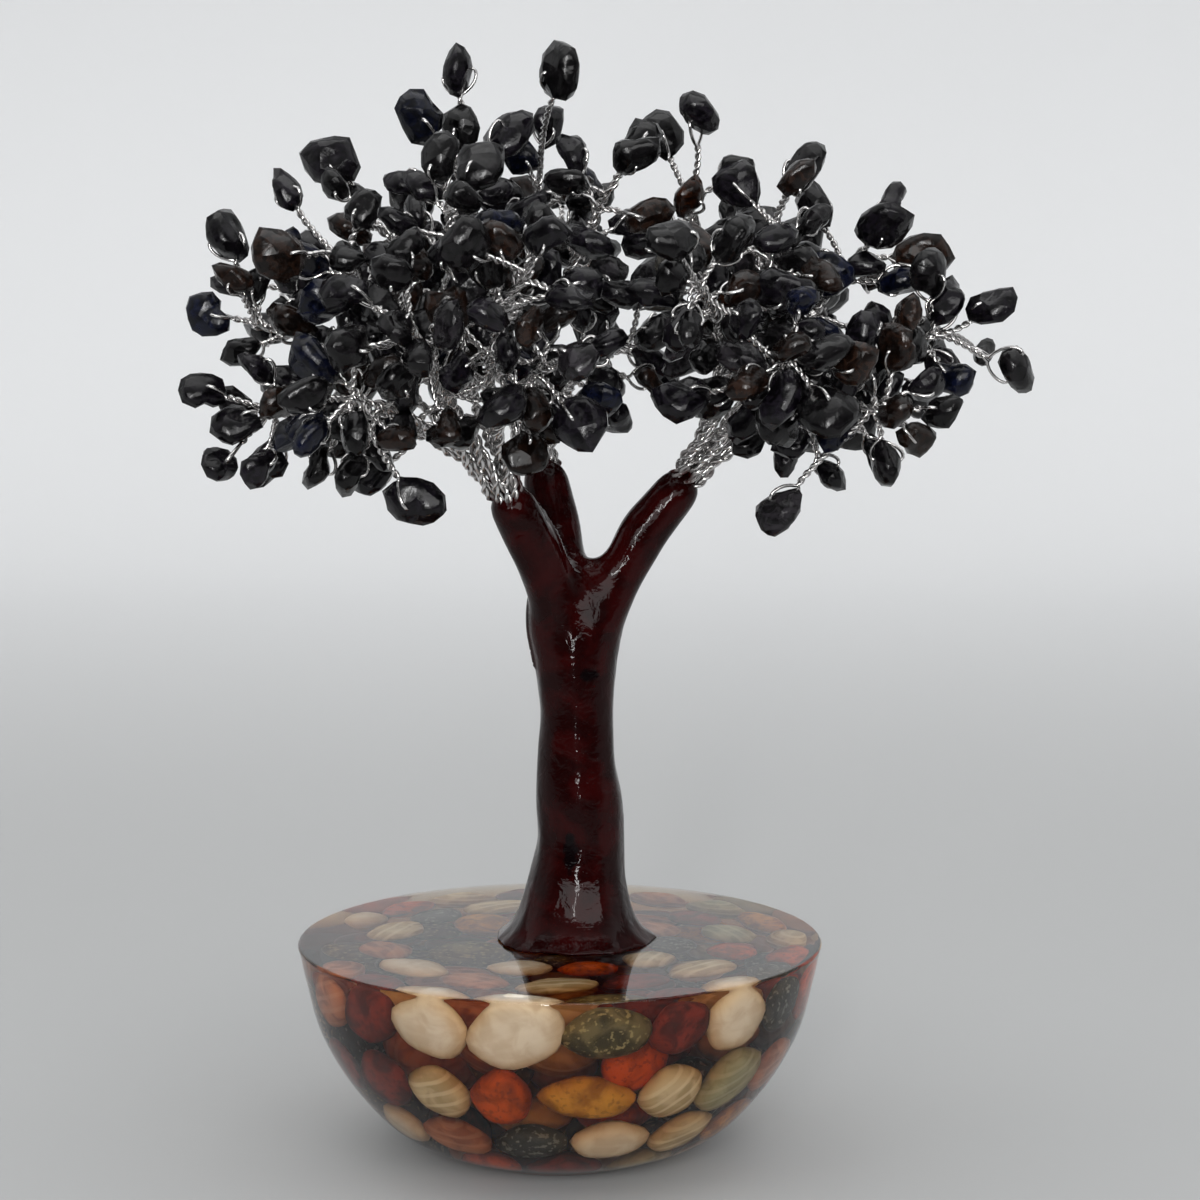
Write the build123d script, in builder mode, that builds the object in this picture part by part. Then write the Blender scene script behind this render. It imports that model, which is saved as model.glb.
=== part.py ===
from build123d import *
import math
import os

import numpy as np

# Gemstone tree: drilled chips on twisted wire twigs, a painted trunk, and a clear dome full of pebbles.
# Millimetres. The origin is the centre of the flat foot, +Z is up and +Y points away from the viewer.

# Resin dome
DOME_RADIUS = 40.0
DOME_HEIGHT = 33.0
# Radius and height along the wall, from the edge of the flat foot up to the rim
BOWL_PROFILE_SHARES = ((0.37, 0.0), (0.62, 0.13), (0.79, 0.335), (0.915, 0.59), (0.972, 0.84), (1.0, 1.0))

# River pebbles, lying in rows against the wall, in one ring under the top face and in rings in the middle
PEBBLE_LENGTH = 13.0
PEBBLE_WIDTH = 9.4
PEBBLE_THICKNESS = 5.6
PEBBLE_GAP = 0.3
RESIN_COVER = 1.0
PEBBLE_OUTLINE_SHARES = ((-0.5, -0.02), (-0.18, -0.5), (0.36, -0.4), (0.5, 0.16), (-0.02, 0.5))
# Flats of a pebble's inner and outer side: it comes to a point inside the resin
PEBBLE_FLAT_SHARES = (0, 0.6)
# Rows from the rim down, each with the angle of its first pebble, in degrees from the front and to the left.
# A pebble is its kind, length, width and turn in degrees. A row runs across the front and on round the back.
PEBBLE_ROWS = (
    (
        65,
        ("salmon", 0.76, 0.88, 8),
        ("red", 0.82, 0.94, 20),
        ("white", 0.86, 1.02, -18),
        ("white", 1.02, 1.14, 14),
        ("speckled_green", 0.92, 0.84, 4),
        ("red", 0.7, 0.86, 16),
        ("white", 0.8, 1.02, -12),
        ("dark_grey", 0.7, 0.86, 10),
        ("orange", 0.8, 0.88, 12),
        ("cream", 0.86, 0.96, -14),
        ("ochre", 0.9, 0.82, 8),
        ("sage", 0.84, 0.96, -12),
        ("salmon", 0.8, 0.9, 10),
        ("white", 0.88, 0.96, 14),
        ("red", 0.78, 0.88, -10),
        ("cream", 0.84, 0.94, 12),
        ("orange", 0.76, 0.86, -12),
        ("white", 0.7, 0.9, 10),
    ),
    (
        70,
        ("red", 0.76, 0.86, -10),
        ("red", 0.78, 0.96, 12),
        ("cream", 0.7, 0.94, -20),
        ("orange", 0.66, 0.98, -8),
        ("ochre", 0.98, 0.74, -8),
        ("cream", 0.72, 0.96, 10),
        ("sage", 0.86, 1.02, 14),
        ("salmon", 0.76, 0.88, 10),
        ("dark_grey", 0.8, 0.86, -8),
        ("white", 0.84, 0.92, -12),
        ("ochre", 0.88, 0.84, 10),
        ("red", 0.76, 0.92, 12),
        ("cream", 0.86, 0.9, -10),
        ("speckled_green", 0.86, 0.84, 12),
        ("orange", 0.78, 0.86, 8),
        ("salmon", 0.76, 0.9, -12),
    ),
    (
        56,
        ("white", 0.7, 0.82, 10),
        ("salmon", 0.76, 0.84, -12),
        ("dark_grey", 0.76, 0.78, 8),
        ("white", 0.8, 0.86, -8),
        ("cream", 0.72, 0.84, 12),
        ("ochre", 0.74, 0.82, 10),
        ("red", 0.76, 0.84, -10),
        ("sage", 0.8, 0.84, 12),
        ("salmon", 0.74, 0.82, 8),
        ("white", 0.8, 0.84, -12),
        ("orange", 0.74, 0.82, 10),
        ("cream", 0.76, 0.84, 12),
    ),
    (
        30,
        ("orange", 0.7, 0.76, 8),
        ("red", 0.74, 0.78, -8),
        ("sage", 0.7, 0.76, 10),
        ("cream", 0.72, 0.78, 12),
        ("salmon", 0.7, 0.76, -10),
        ("white", 0.72, 0.78, 8),
    ),
)
TOP_PEBBLES = (
    158,
    ("cream", 0.9, 0.84, 8),
    ("dark_grey", 0.74, 0.76, 10),
    ("cream", 0.92, 0.84, -8),
    ("salmon", 0.8, 0.8, 10),
    ("white", 0.92, 0.84, 6),
    ("salmon", 0.8, 0.82, -8),
    ("cream", 0.88, 0.8, 10),
    ("red", 0.8, 0.78, 6),
    ("cream", 0.92, 0.82, -10),
    ("orange", 0.74, 0.8, 8),
    ("sage", 0.86, 0.82, 8),
    ("red", 0.78, 0.78, -8),
)
# Rings in the middle: first angle, pebble widths inside the top ring, layers below it, then pebbles as above
INNER_PEBBLES = (
    (
        (20, 1.02, 0),
        ("white", 0.7, 0.84, 8),
        ("orange", 0.66, 0.8, -6),
        ("cream", 0.72, 0.84, 10),
        ("dark_grey", 0.66, 0.8, 6),
        ("salmon", 0.7, 0.84, -8),
        ("white", 0.68, 0.82, 8),
        ("red", 0.64, 0.8, -8),
    ),
    (
        (0, 0.3, 1),
        ("cream", 0.84, 0.9, 8),
        ("red", 0.82, 0.88, -8),
        ("white", 0.84, 0.92, 6),
        ("sage", 0.82, 0.88, 10),
        ("ochre", 0.84, 0.9, -6),
        ("salmon", 0.82, 0.9, 8),
        ("white", 0.84, 0.88, -10),
        ("orange", 0.8, 0.88, 6),
        ("speckled_green", 0.82, 0.9, 8),
    ),
    (
        (40, 1.34, 1.5),
        ("red", 0.62, 0.78, 6),
        ("white", 0.64, 0.8, -8),
        ("ochre", 0.62, 0.78, 8),
        ("cream", 0.64, 0.8, 6),
        ("salmon", 0.62, 0.78, -6),
    ),
    (
        (10, 0.68, 2.5),
        ("white", 0.74, 0.86, 8),
        ("orange", 0.72, 0.84, -8),
        ("dark_grey", 0.72, 0.84, 6),
        ("cream", 0.74, 0.86, 10),
        ("red", 0.72, 0.84, -6),
        ("sage", 0.74, 0.84, 8),
        ("salmon", 0.72, 0.84, -10),
        ("ochre", 0.7, 0.84, 6),
    ),
    (
        (60, 1.62, 3.5),
        ("white", 0.5, 0.66, 6),
        ("red", 0.5, 0.66, -6),
        ("cream", 0.5, 0.66, 8),
        ("salmon", 0.5, 0.66, -8),
    ),
)

# Trunk: wire core and its painted coating
TRUNK_WIDTH = 13.0
TRUNK_HEIGHT = 52.0
TRUNK_OFFSET = 2.0
TRUNK_SIDES = 12
CORE_DIAMETER = 7.6
CORE_ROOT = 9.0
CORE_SIDES = 6
# Height, sideways shift, width and depth of the coating, from the flared foot to the web between the limbs
TRUNK_SECTION_SHARES = (
    (0.0, 0.0, 1.76, 1.72),
    (0.025, 0.0, 1.5, 1.48),
    (0.09, 0.01, 1.31, 1.28),
    (0.19, 0.03, 1.12, 1.1),
    (0.3, 0.08, 1.02, 1.02),
    (0.42, 0.06, 1.04, 1.04),
    (0.53, 0.04, 0.94, 0.97),
    (0.67, 0.06, 0.88, 0.93),
    (0.82, 0.045, 0.98, 0.98),
    (0.92, 0.03, 1.14, 1.0),
    (1.0, 0.08, 1.24, 0.9),
    (1.06, 0.12, 0.96, 0.66),
    (1.1, 0.14, 0.5, 0.34),
)
# Sections of the coating whose middles the wire core follows, below the limbs
CORE_SECTIONS = (0, 3, 6, 8)
TOE_COUNT = 5
TOE_SHARE = 0.07

# Limbs, from inside the fork to the open ends where the wire comes out
LIMB_DIAMETER = 11.4
LIMB_WALL = 0.6
LIMB_LIP = 1.2
LIMB_SIDES = 9
LIMB_STEPS = 5
# Height of the limbs' roots up the trunk, and the place of each limb's end from the fork
LIMB_LENGTH = 20.0
LIMB_ROOT_SHARE = 0.7
FORK_SHIFT_SHARE = 0.07
LIMB_END_SHARES = {
    "front_left": (-0.5, -0.45, 0.8),
    "rear_left": (-0.26, 0.4, 0.93),
    "right": (0.765, 0.05, 0.875),
}
# How far limbs and wires run straight on before they bend
LIMB_BEND_SHARE = 0.41
WIRE_BEND_SHARE = 0.45

# Wire branches and their stones
BUNDLE_DIAMETER = 1.4
BUNDLE_GAP = 0.12
BUNDLE_SIDES = 4
BUNDLE_STEPS = 3
BUNDLE_LEAD = 2.6
TWIG_DIAMETER = 0.8
TWIG_SIDES = 3
TWIG_LENGTH = 8.0
TWIG_LENGTH_SHARES = (0.85, 1.27, 1.1, 0.93, 1.35, 1.18, 1.02)
LONGEST_TWIG = 30.0
TWIG_SEAT = 0.1
# The end part of a bundle that carries twigs, and how much closer they stand towards its end
TWIGGED_SHARE = 0.5
TWIG_CROWDING = 1.2
# Slant of a twig, as shares along its bundle and sideways, at the bundle's end and along its side
END_TWIG_SHARES = (1.0, 0.15)
SIDE_TWIG_SHARES = (0.45, 1.0)
# Where the first twig to an outlying stone leaves its bundle, and the step back to the next
OUTLYING_START_SHARE = 0.94
OUTLYING_STEP_SHARE = 0.08
CHIP_LENGTH = 7.4
CHIP_WIDTH = 6.8
CHIP_THICKNESS = 5.2
CHIP_SEAT = 0.15
PIECE_GAP = 0.2
# The canopy's size, measured from a point over the trunk at the height of the limb ends
CANOPY_WIDTH = 120.0
CANOPY_DEPTH = 90.0
CANOPY_HEIGHT = 60.0
CANOPY_OFFSET = 7.0
CANOPY_BASE_SHARE = 0.8
CHIPS_PER_BRANCH = 11
# The stones are spread by pushing apart those that touch, a share of the overlap at a time
SPREADING_ROUNDS = 140
CHIP_PUSH_SHARE = 0.5
TWIG_PUSH_SHARE = 0.6
SHORTEST_STEP_SHARE = 0.001
NEARLY_PARALLEL = 1e-9
# Where each wire bundle ends: across, away from the viewer, and up
BRANCH_TIP_SHARES = {
    "front_left": (
        (-0.86, -0.18, 0.44),
        (-0.82, -0.42, 0.24),
        (-0.66, -0.4, 0.62),
        (-0.6, -0.76, 0.28),
        (-0.46, -0.86, 0.47),
        (-0.37, -0.56, 0.72),
        (-0.13, -0.8, 0.36),
        (-0.18, -0.92, 0.58),
    ),
    "rear_left": (
        (-0.8, 0.3, 0.5),
        (-0.6, 0.44, 0.69),
        (-0.38, 0.06, 0.84),
        (-0.17, 0.42, 0.76),
        (-0.5, 0.84, 0.46),
        (-0.12, 0.9, 0.66),
        (0.02, -0.16, 0.78),
        (0.06, 0.62, 0.36),
    ),
    "right": (
        (0.21, 0.28, 0.74),
        (0.41, -0.3, 0.69),
        (0.65, 0.24, 0.6),
        (0.86, 0.0, 0.41),
        (0.67, -0.4, 0.24),
        (0.42, -0.8, 0.38),
        (0.52, 0.76, 0.48),
        (0.2, -0.84, 0.56),
    ),
}
# Stones that stand clear of the rest on longer twigs: branch number, then across, away and up
OUTLYING_CHIP_SHARES = {
    "front_left": ((0, -0.98, -0.2, 0.6), (1, -0.93, -0.5, 0.16), (3, -0.42, -0.66, 0.12)),
    "rear_left": ((2, -0.42, 0.05, 1.02), (3, -0.12, 0.1, 1.055), (1, -0.68, 0.3, 0.74)),
    "right": ((0, 0.22, 0.2, 0.95), (1, 0.44, -0.3, 0.79), (3, 1.02, 0.02, 0.4), (4, 0.4, -0.4, 0.02)),
}

# Rough outlines of the chips, with the corner or side that meets the wire on the left
CHIP_OUTLINE_SHARES = (
    ((-0.5, 0.12), (-0.12, -0.5), (0.5, -0.28), (0.26, 0.5)),
    ((-0.46, -0.32), (0.36, -0.5), (0.5, 0.26), (-0.3, 0.5)),
    ((-0.5, -0.2), (0.24, -0.5), (0.5, 0.32), (-0.24, 0.5)),
    ((-0.5, 0.05), (0.12, -0.5), (0.5, -0.1), (-0.06, 0.5)),
    ((-0.48, 0.3), (-0.38, -0.42), (0.5, -0.34), (0.34, 0.48)),
)
# A chip's back narrows to a point, and its front to a smaller flat
CHIP_FLAT_SHARES = (0, 0.62)
CHIP_SIZE_SHARES = (1.0, 0.84, 1.12, 0.92, 1.22, 0.88, 1.05)
GOLDEN_TURN = math.radians(137.5)
# The least slant, as a sine, at which a twig is taken to leave its bundle's side
TWIG_LEAN_SHARE = 0.3

FORK_HEIGHT = DOME_HEIGHT + TRUNK_HEIGHT
WALL = [(radius * DOME_RADIUS, height * DOME_HEIGHT) for radius, height in BOWL_PROFILE_SHARES]


def unit(vector):
    """The vector at a length of one."""
    return vector / np.linalg.norm(vector)


def facet(corners):
    """A flat face through corners in order."""
    return Face(Wire.make_polygon([Vector(*corner) for corner in corners]))


def faceted_solid(rings, flat_sides=False):
    """Closed solid of flat facets between successive rings of corners, from a flat or a point to a flat."""
    count = len(rings[-1])
    facets = [facet(ring) for ring in (rings[0], rings[-1]) if len(ring) == count]
    for lower, upper in zip(rings, rings[1:]):
        for k in range(count):
            after = (k + 1) % count
            if len(lower) < count:
                facets.append(facet((lower[0], upper[after], upper[k])))
            elif flat_sides:
                facets.append(facet((lower[k], lower[after], upper[after], upper[k])))
            else:
                facets.append(facet((lower[k], lower[after], upper[after])))
                facets.append(facet((lower[k], upper[after], upper[k])))
    return Solid(Shell(facets))


def nugget_rings(outline, length, width, thickness, flat_shares):
    """Rings of a nugget: its full outline in the middle, pinched to a flat or a point on each side."""
    girdle = np.array([(x * length, y * width, 0.0) for x, y in outline])
    back = girdle * flat_shares[0] - np.array((0.0, 0.0, thickness / 2))
    if flat_shares[0] == 0:
        back = back[:1]
    front = girdle * flat_shares[1] + np.array((0.0, 0.0, thickness / 2))
    return [back, girdle, front]


def set_in_place(rings, centre, along, across):
    """Rings turned from the XY plane to lie along and across two directions at a centre."""
    turned = np.column_stack((along, across, np.cross(along, across)))
    return [ring @ turned.T + centre for ring in rings]


# Pebbles against the wall


def wall_at(distance):
    """Point of the wall a distance down from the rim, with the downward direction there."""
    points = WALL[::-1]
    for upper, lower in zip(points, points[1:]):
        run = math.dist(upper, lower)
        if distance <= run or lower is points[-1]:
            down = ((lower[0] - upper[0]) / run, (lower[1] - upper[1]) / run)
            return (upper[0] + down[0] * distance, upper[1] + down[1] * distance), down
        distance -= run


WALL_LENGTH = sum(math.dist(a, b) for a, b in zip(WALL, WALL[1:]))


def turned_outline(length_share, width_share, turn):
    """A pebble's outline turned in its own plane, in millimetres along and across its row."""
    c = math.cos(math.radians(turn))
    s = math.sin(math.radians(turn))
    length = PEBBLE_LENGTH * length_share
    width = PEBBLE_WIDTH * width_share
    corners = [(x * length, y * width) for x, y in PEBBLE_OUTLINE_SHARES]
    return [(x * c - y * s, x * s + y * c) for x, y in corners]


def ring_of_pebbles(row, pebble_at, place, tight_radius):
    """Pebbles of one row at its place, laid side by side from its first angle until the ring is full."""
    first, *pebbles = row
    outlines = [turned_outline(*pebble[1:]) for pebble in pebbles]
    start = -math.radians(first)
    gap = PEBBLE_GAP / tight_radius
    spans = [(min(x for x, y in outline), max(x for x, y in outline)) for outline in outlines]
    angle = start
    laid = []
    for number, (pebble, outline, (left, right)) in enumerate(zip(pebbles, outlines, spans)):
        if number:
            angle += (spans[number - 1][1] - left) / tight_radius + gap
        if angle + (right - spans[0][0]) / tight_radius + gap > start + 2 * math.pi:
            break
        laid.append((pebble[0], pebble_at(outline, angle, place)))
    return laid


def wall_pebble(outline, angle, distance):
    """Rings of a pebble lying against the wall, at an angle round from the front."""
    (radius, height), down = wall_at(distance)
    out = np.array((math.sin(angle), -math.cos(angle), 0.0))
    up = np.array((0.0, 0.0, 1.0))
    slope = out * down[0] + up * down[1]
    normal = unit(up * down[0] - out * down[1])
    centre = out * radius + up * height - normal * (RESIN_COVER + PEBBLE_THICKNESS / 2)
    rings = nugget_rings(outline, 1, 1, PEBBLE_THICKNESS, PEBBLE_FLAT_SHARES)
    return set_in_place(rings, centre, np.cross(-slope, normal), -slope)


def flat_pebble(outline, angle, place):
    """Rings of a pebble lying flat, at a radius and height and an angle round from the front."""
    radius, height = place
    out = np.array((math.sin(angle), -math.cos(angle), 0.0))
    along = np.array((math.cos(angle), math.sin(angle), 0.0))
    centre = out * radius + np.array((0.0, 0.0, height))
    rings = nugget_rings(outline, 1, 1, PEBBLE_THICKNESS, PEBBLE_FLAT_SHARES)
    return set_in_place(rings, centre, along, -out)


def flat_half_width(pebbles):
    """Half the width of the widest of some pebbles as they lie in a ring."""
    return max(abs(y) for pebble in pebbles for x, y in turned_outline(*pebble[1:]))


def flat_ring(row, radius, height):
    """A ring of pebbles that lie flat, close together at its inner side."""
    tight_radius = radius - flat_half_width(row[1:]) * PEBBLE_FLAT_SHARES[1]
    return ring_of_pebbles(row, flat_pebble, (radius, height), tight_radius)


def all_pebbles():
    """Every pebble as its kind and rings: row after row down the wall, then the rings that lie flat."""
    laid = []
    distance = RESIN_COVER
    depth = RESIN_COVER + PEBBLE_THICKNESS / 2
    inner_top = DOME_RADIUS
    down_above = wall_at(distance)[1]
    for number, row in enumerate(PEBBLE_ROWS):
        outlines = [turned_outline(*pebble[1:]) for pebble in row[1:]]
        above = max(y for outline in outlines for x, y in outline)
        below = -min(y for outline in outlines for x, y in outline)
        distance += above
        # Rows lean towards each other where the wall bends between them
        down = wall_at(distance)[1]
        distance += depth * math.acos(min(1, np.dot(down, down_above)))
        (radius, height), down = wall_at(distance)
        if distance + below > WALL_LENGTH:
            break
        tight_radius = radius + down[1] * depth + down[0] * below * PEBBLE_FLAT_SHARES[1]
        if number == 0:
            inner_top = tight_radius - PEBBLE_THICKNESS / 2
        laid += ring_of_pebbles(row, wall_pebble, distance, tight_radius)
        distance += below + PEBBLE_GAP
        down_above = down
    top_half_width = flat_half_width(TOP_PEBBLES[1:])
    top_radius = inner_top - PEBBLE_GAP - top_half_width
    top_height = DOME_HEIGHT - depth
    laid += flat_ring(TOP_PEBBLES, top_radius, top_height)
    for (first, widths, layers), *pebbles in INNER_PEBBLES:
        height = top_height - layers * (PEBBLE_THICKNESS + PEBBLE_GAP)
        laid += flat_ring((first, *pebbles), top_radius - widths * PEBBLE_WIDTH, height)
    return laid


# Trunk and limbs


def trunk_rings(width_scale, sections, sides, toes):
    """Rings of corners up the trunk, from its sections of height, shift, width and depth."""
    rings = []
    for height, shift, width, depth in sections:
        ring = []
        for k in range(sides):
            angle = 2 * math.pi * k / sides
            flare = 1 + toes * math.cos(TOE_COUNT * angle) * max(0.0, width - 1)
            x = TRUNK_OFFSET + shift * TRUNK_WIDTH + flare * width * width_scale / 2 * math.cos(angle)
            y = flare * depth * width_scale / 2 * math.sin(angle)
            ring.append((x, y, DOME_HEIGHT + height * TRUNK_HEIGHT))
        rings.append(ring)
    return rings


def bent_path(start, heading, end, steps, bend_share):
    """Points along a smooth bend that leaves the start along a heading and ends at the end."""
    control = start + heading * (bend_share * np.linalg.norm(end - start))
    shares = np.linspace(0, 1, steps + 1)[:, None]
    return (1 - shares) ** 2 * start + 2 * shares * (1 - shares) * control + shares**2 * end


def side_directions(axis):
    """Two directions square to an axis and to each other."""
    across = unit(np.cross(axis, (0.0, 1.0, 0.0)))
    return across, np.cross(axis, across)


def limb_rings(path, radii, sides):
    """Rings of corners round a path, square to it, with a radius at each point."""
    rings = []
    last = len(path) - 1
    for k, (point, radius) in enumerate(zip(path, radii)):
        axis = unit(path[min(k + 1, last)] - path[max(k - 1, 0)])
        across, upward = side_directions(axis)
        angles = 2 * math.pi * np.arange(sides) / sides
        ring = point + radius * (np.cos(angles)[:, None] * across + np.sin(angles)[:, None] * upward)
        rings.append(ring)
    return rings


# Bundles lie in a ring round a middle one in each limb's mouth, with the coating round them
BUNDLES_IN_RING = len(BRANCH_TIP_SHARES["right"]) - 1
RING_RADIUS = (BUNDLE_DIAMETER + BUNDLE_GAP) / (2 * math.sin(math.pi / BUNDLES_IN_RING))
MOUTH_RADIUS = (RING_RADIUS + BUNDLE_DIAMETER / 2 + BUNDLE_GAP) / math.cos(math.pi / LIMB_SIDES)
LIMB_END_DIAMETER = 2 * (MOUTH_RADIUS + LIMB_WALL)
FORK_X = TRUNK_OFFSET + FORK_SHIFT_SHARE * TRUNK_WIDTH
FORK = np.array((FORK_X, 0.0, FORK_HEIGHT))
LIMB_ROOT = np.array((FORK_X, 0.0, DOME_HEIGHT + LIMB_ROOT_SHARE * TRUNK_HEIGHT))


def limb_path(name):
    """The middle line of a limb, from inside the trunk to its open end."""
    end = FORK + np.array(LIMB_END_SHARES[name]) * LIMB_LENGTH
    return bent_path(LIMB_ROOT, np.array((0.0, 0.0, 1.0)), end, LIMB_STEPS, LIMB_BEND_SHARE)


def core_path(name):
    """The middle line of a limb's wire core, which stops short of the coating's lip."""
    path = limb_path(name)
    axis = unit(path[-1] - path[-2])
    path[-1] = path[-1] - axis * LIMB_LIP
    return path


def tapered(first, last, count):
    """Radii that taper evenly between two diameters."""
    return np.linspace(first / 2, last / 2, count)


# Branches and chips


def chip_form(index):
    """Outline, size and flats of the chip that a place in the canopy gets."""
    outline = CHIP_OUTLINE_SHARES[index % len(CHIP_OUTLINE_SHARES)]
    size = CHIP_SIZE_SHARES[index % len(CHIP_SIZE_SHARES)]
    length, width, thickness = (size * full for full in (CHIP_LENGTH, CHIP_WIDTH, CHIP_THICKNESS))
    return nugget_rings(outline, length, width, thickness, CHIP_FLAT_SHARES)


def chip_radius(rings):
    """Distance from a chip's centre to its furthest corner."""
    return max(np.linalg.norm(ring, axis=1).max() for ring in rings)


def rim_reach(rings):
    """Distance from a chip's centre to its rim, at its furthest within the width of the wire there."""
    girdle = rings[1]
    half = TWIG_DIAMETER / 2
    reached = [-x for x, y, z in girdle if abs(y) <= half]
    for a, b in zip(girdle, np.roll(girdle, -1, axis=0)):
        for level in (-half, half):
            if min(a[1], b[1]) < level < max(a[1], b[1]):
                reached.append(-a[0] - (b[0] - a[0]) * (level - a[1]) / (b[1] - a[1]))
    return max(reached)


def slotted_starts(end, axis, tips):
    """Start of each bundle on a limb's end: one in the middle, the rest round it, ordered by their tips."""
    across, upward = side_directions(axis)
    offsets = tips - end
    lean = [np.linalg.norm(np.cross(axis, unit(offset))) for offset in offsets]
    middle = int(np.argmin(lean))
    others = [k for k in range(len(tips)) if k != middle]
    angles = {k: math.atan2(offsets[k] @ upward, offsets[k] @ across) for k in others}
    others.sort(key=angles.get)
    pitch = 2 * math.pi / len(others)
    drift = [angles[k] - slot * pitch for slot, k in enumerate(others)]
    phase = math.atan2(np.sin(drift).sum(), np.cos(drift).sum())
    starts = {middle: end}
    for slot, k in enumerate(others):
        angle = phase + slot * pitch
        starts[k] = end + RING_RADIUS * (math.cos(angle) * across + math.sin(angle) * upward)
    return [starts[k] for k in range(len(tips))]


def canopy_point(shares):
    """A point of the canopy from its shares across, away from the viewer and up."""
    across, away, up = shares
    x = CANOPY_OFFSET + across * CANOPY_WIDTH / 2
    y = away * CANOPY_DEPTH / 2
    z = FORK_HEIGHT + CANOPY_BASE_SHARE * LIMB_LENGTH + up * CANOPY_HEIGHT
    return np.array((x, y, z))


def all_branches():
    """Every wire bundle: its limb, its number on that limb, and the points along it."""
    branches = []
    for limb, tip_shares in BRANCH_TIP_SHARES.items():
        path = core_path(limb)
        axis = unit(path[-1] - path[-2])
        tips = np.array([canopy_point(shares) for shares in tip_shares])
        starts = slotted_starts(path[-1], axis, tips)
        for number, (start, tip) in enumerate(zip(starts, tips)):
            lead = start + axis * BUNDLE_LEAD
            points = np.vstack((start, bent_path(lead, axis, tip, BUNDLE_STEPS, WIRE_BEND_SHARE)))
            branches.append((limb, number + 1, points))
    return branches


def point_on(points, share):
    """Point and direction at a share of the way along a run of points."""
    runs = np.linalg.norm(np.diff(points, axis=0), axis=1)
    distance = share * runs.sum()
    for k, run in enumerate(runs):
        if distance <= run or k == len(runs) - 1:
            heading = (points[k + 1] - points[k]) / run
            return points[k] + heading * min(distance, run), heading
        distance -= run


def wanted_twigs(branches):
    """Bundle, foot and wanted stone of each twig, before the stones are spread apart."""
    twigs = []
    for branch, (limb, number, points) in enumerate(branches):
        for k in range(CHIPS_PER_BRANCH):
            share = 1 - TWIGGED_SHARE * (k / CHIPS_PER_BRANCH) ** TWIG_CROWDING
            base, heading = point_on(points, share)
            across, upward = side_directions(heading)
            angle = GOLDEN_TURN * (k + branch)
            sideways = math.cos(angle) * across + math.sin(angle) * upward
            along_share, sideways_share = SIDE_TWIG_SHARES if k else END_TWIG_SHARES
            direction = unit(heading * along_share + sideways * sideways_share)
            length = TWIG_LENGTH * TWIG_LENGTH_SHARES[(k + 2 * branch) % len(TWIG_LENGTH_SHARES)]
            twigs.append((branch, base, base + direction * length))
        places = [canopy_point(row[1:]) for row in OUTLYING_CHIP_SHARES[limb] if row[0] == number - 1]
        for k, place in enumerate(places):
            base, heading = point_on(points, OUTLYING_START_SHARE - OUTLYING_STEP_SHARE * k)
            twigs.append((branch, base, place))
    return twigs


def nearest_on_segments(points, starts, ends):
    """Share along each segment that is nearest to each point, and the step from there to the point."""
    runs = ends - starts
    offsets = points[:, None, :] - starts[None, :, :]
    shares = np.clip((offsets * runs).sum(2) / (runs * runs).sum(1), 0, 1)
    return shares, offsets - shares[..., None] * runs


def between_segments(a0, a1, b0, b1):
    """Shares along each pair of segments where they come nearest, and the step from second to first."""
    u = (a1 - a0)[:, None, :]
    v = (b1 - b0)[None, :, :]
    w = a0[:, None, :] - b0[None, :, :]
    uu = (u * u).sum(2)
    vv = (v * v).sum(2)
    uv = (u * v).sum(2)
    uw = (u * w).sum(2)
    vw = (v * w).sum(2)
    spread = np.maximum(uu * vv - uv * uv, NEARLY_PARALLEL * uu * vv)
    s = np.clip((uv * vw - vv * uw) / spread, 0, 1)
    t = np.clip((uv * s + vw) / vv, 0, 1)
    s = np.clip((uv * t - uw) / uu, 0, 1)
    return s, t, w + s[..., None] * u - t[..., None] * v


def pushes(steps, needed):
    """Shortfall of each step below the needed length, along its direction."""
    lengths = np.linalg.norm(steps, axis=2)
    shortfall = np.maximum(needed - lengths, 0)
    return steps / np.maximum(lengths, needed * SHORTEST_STEP_SHARE)[..., None] * shortfall[..., None]


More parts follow.
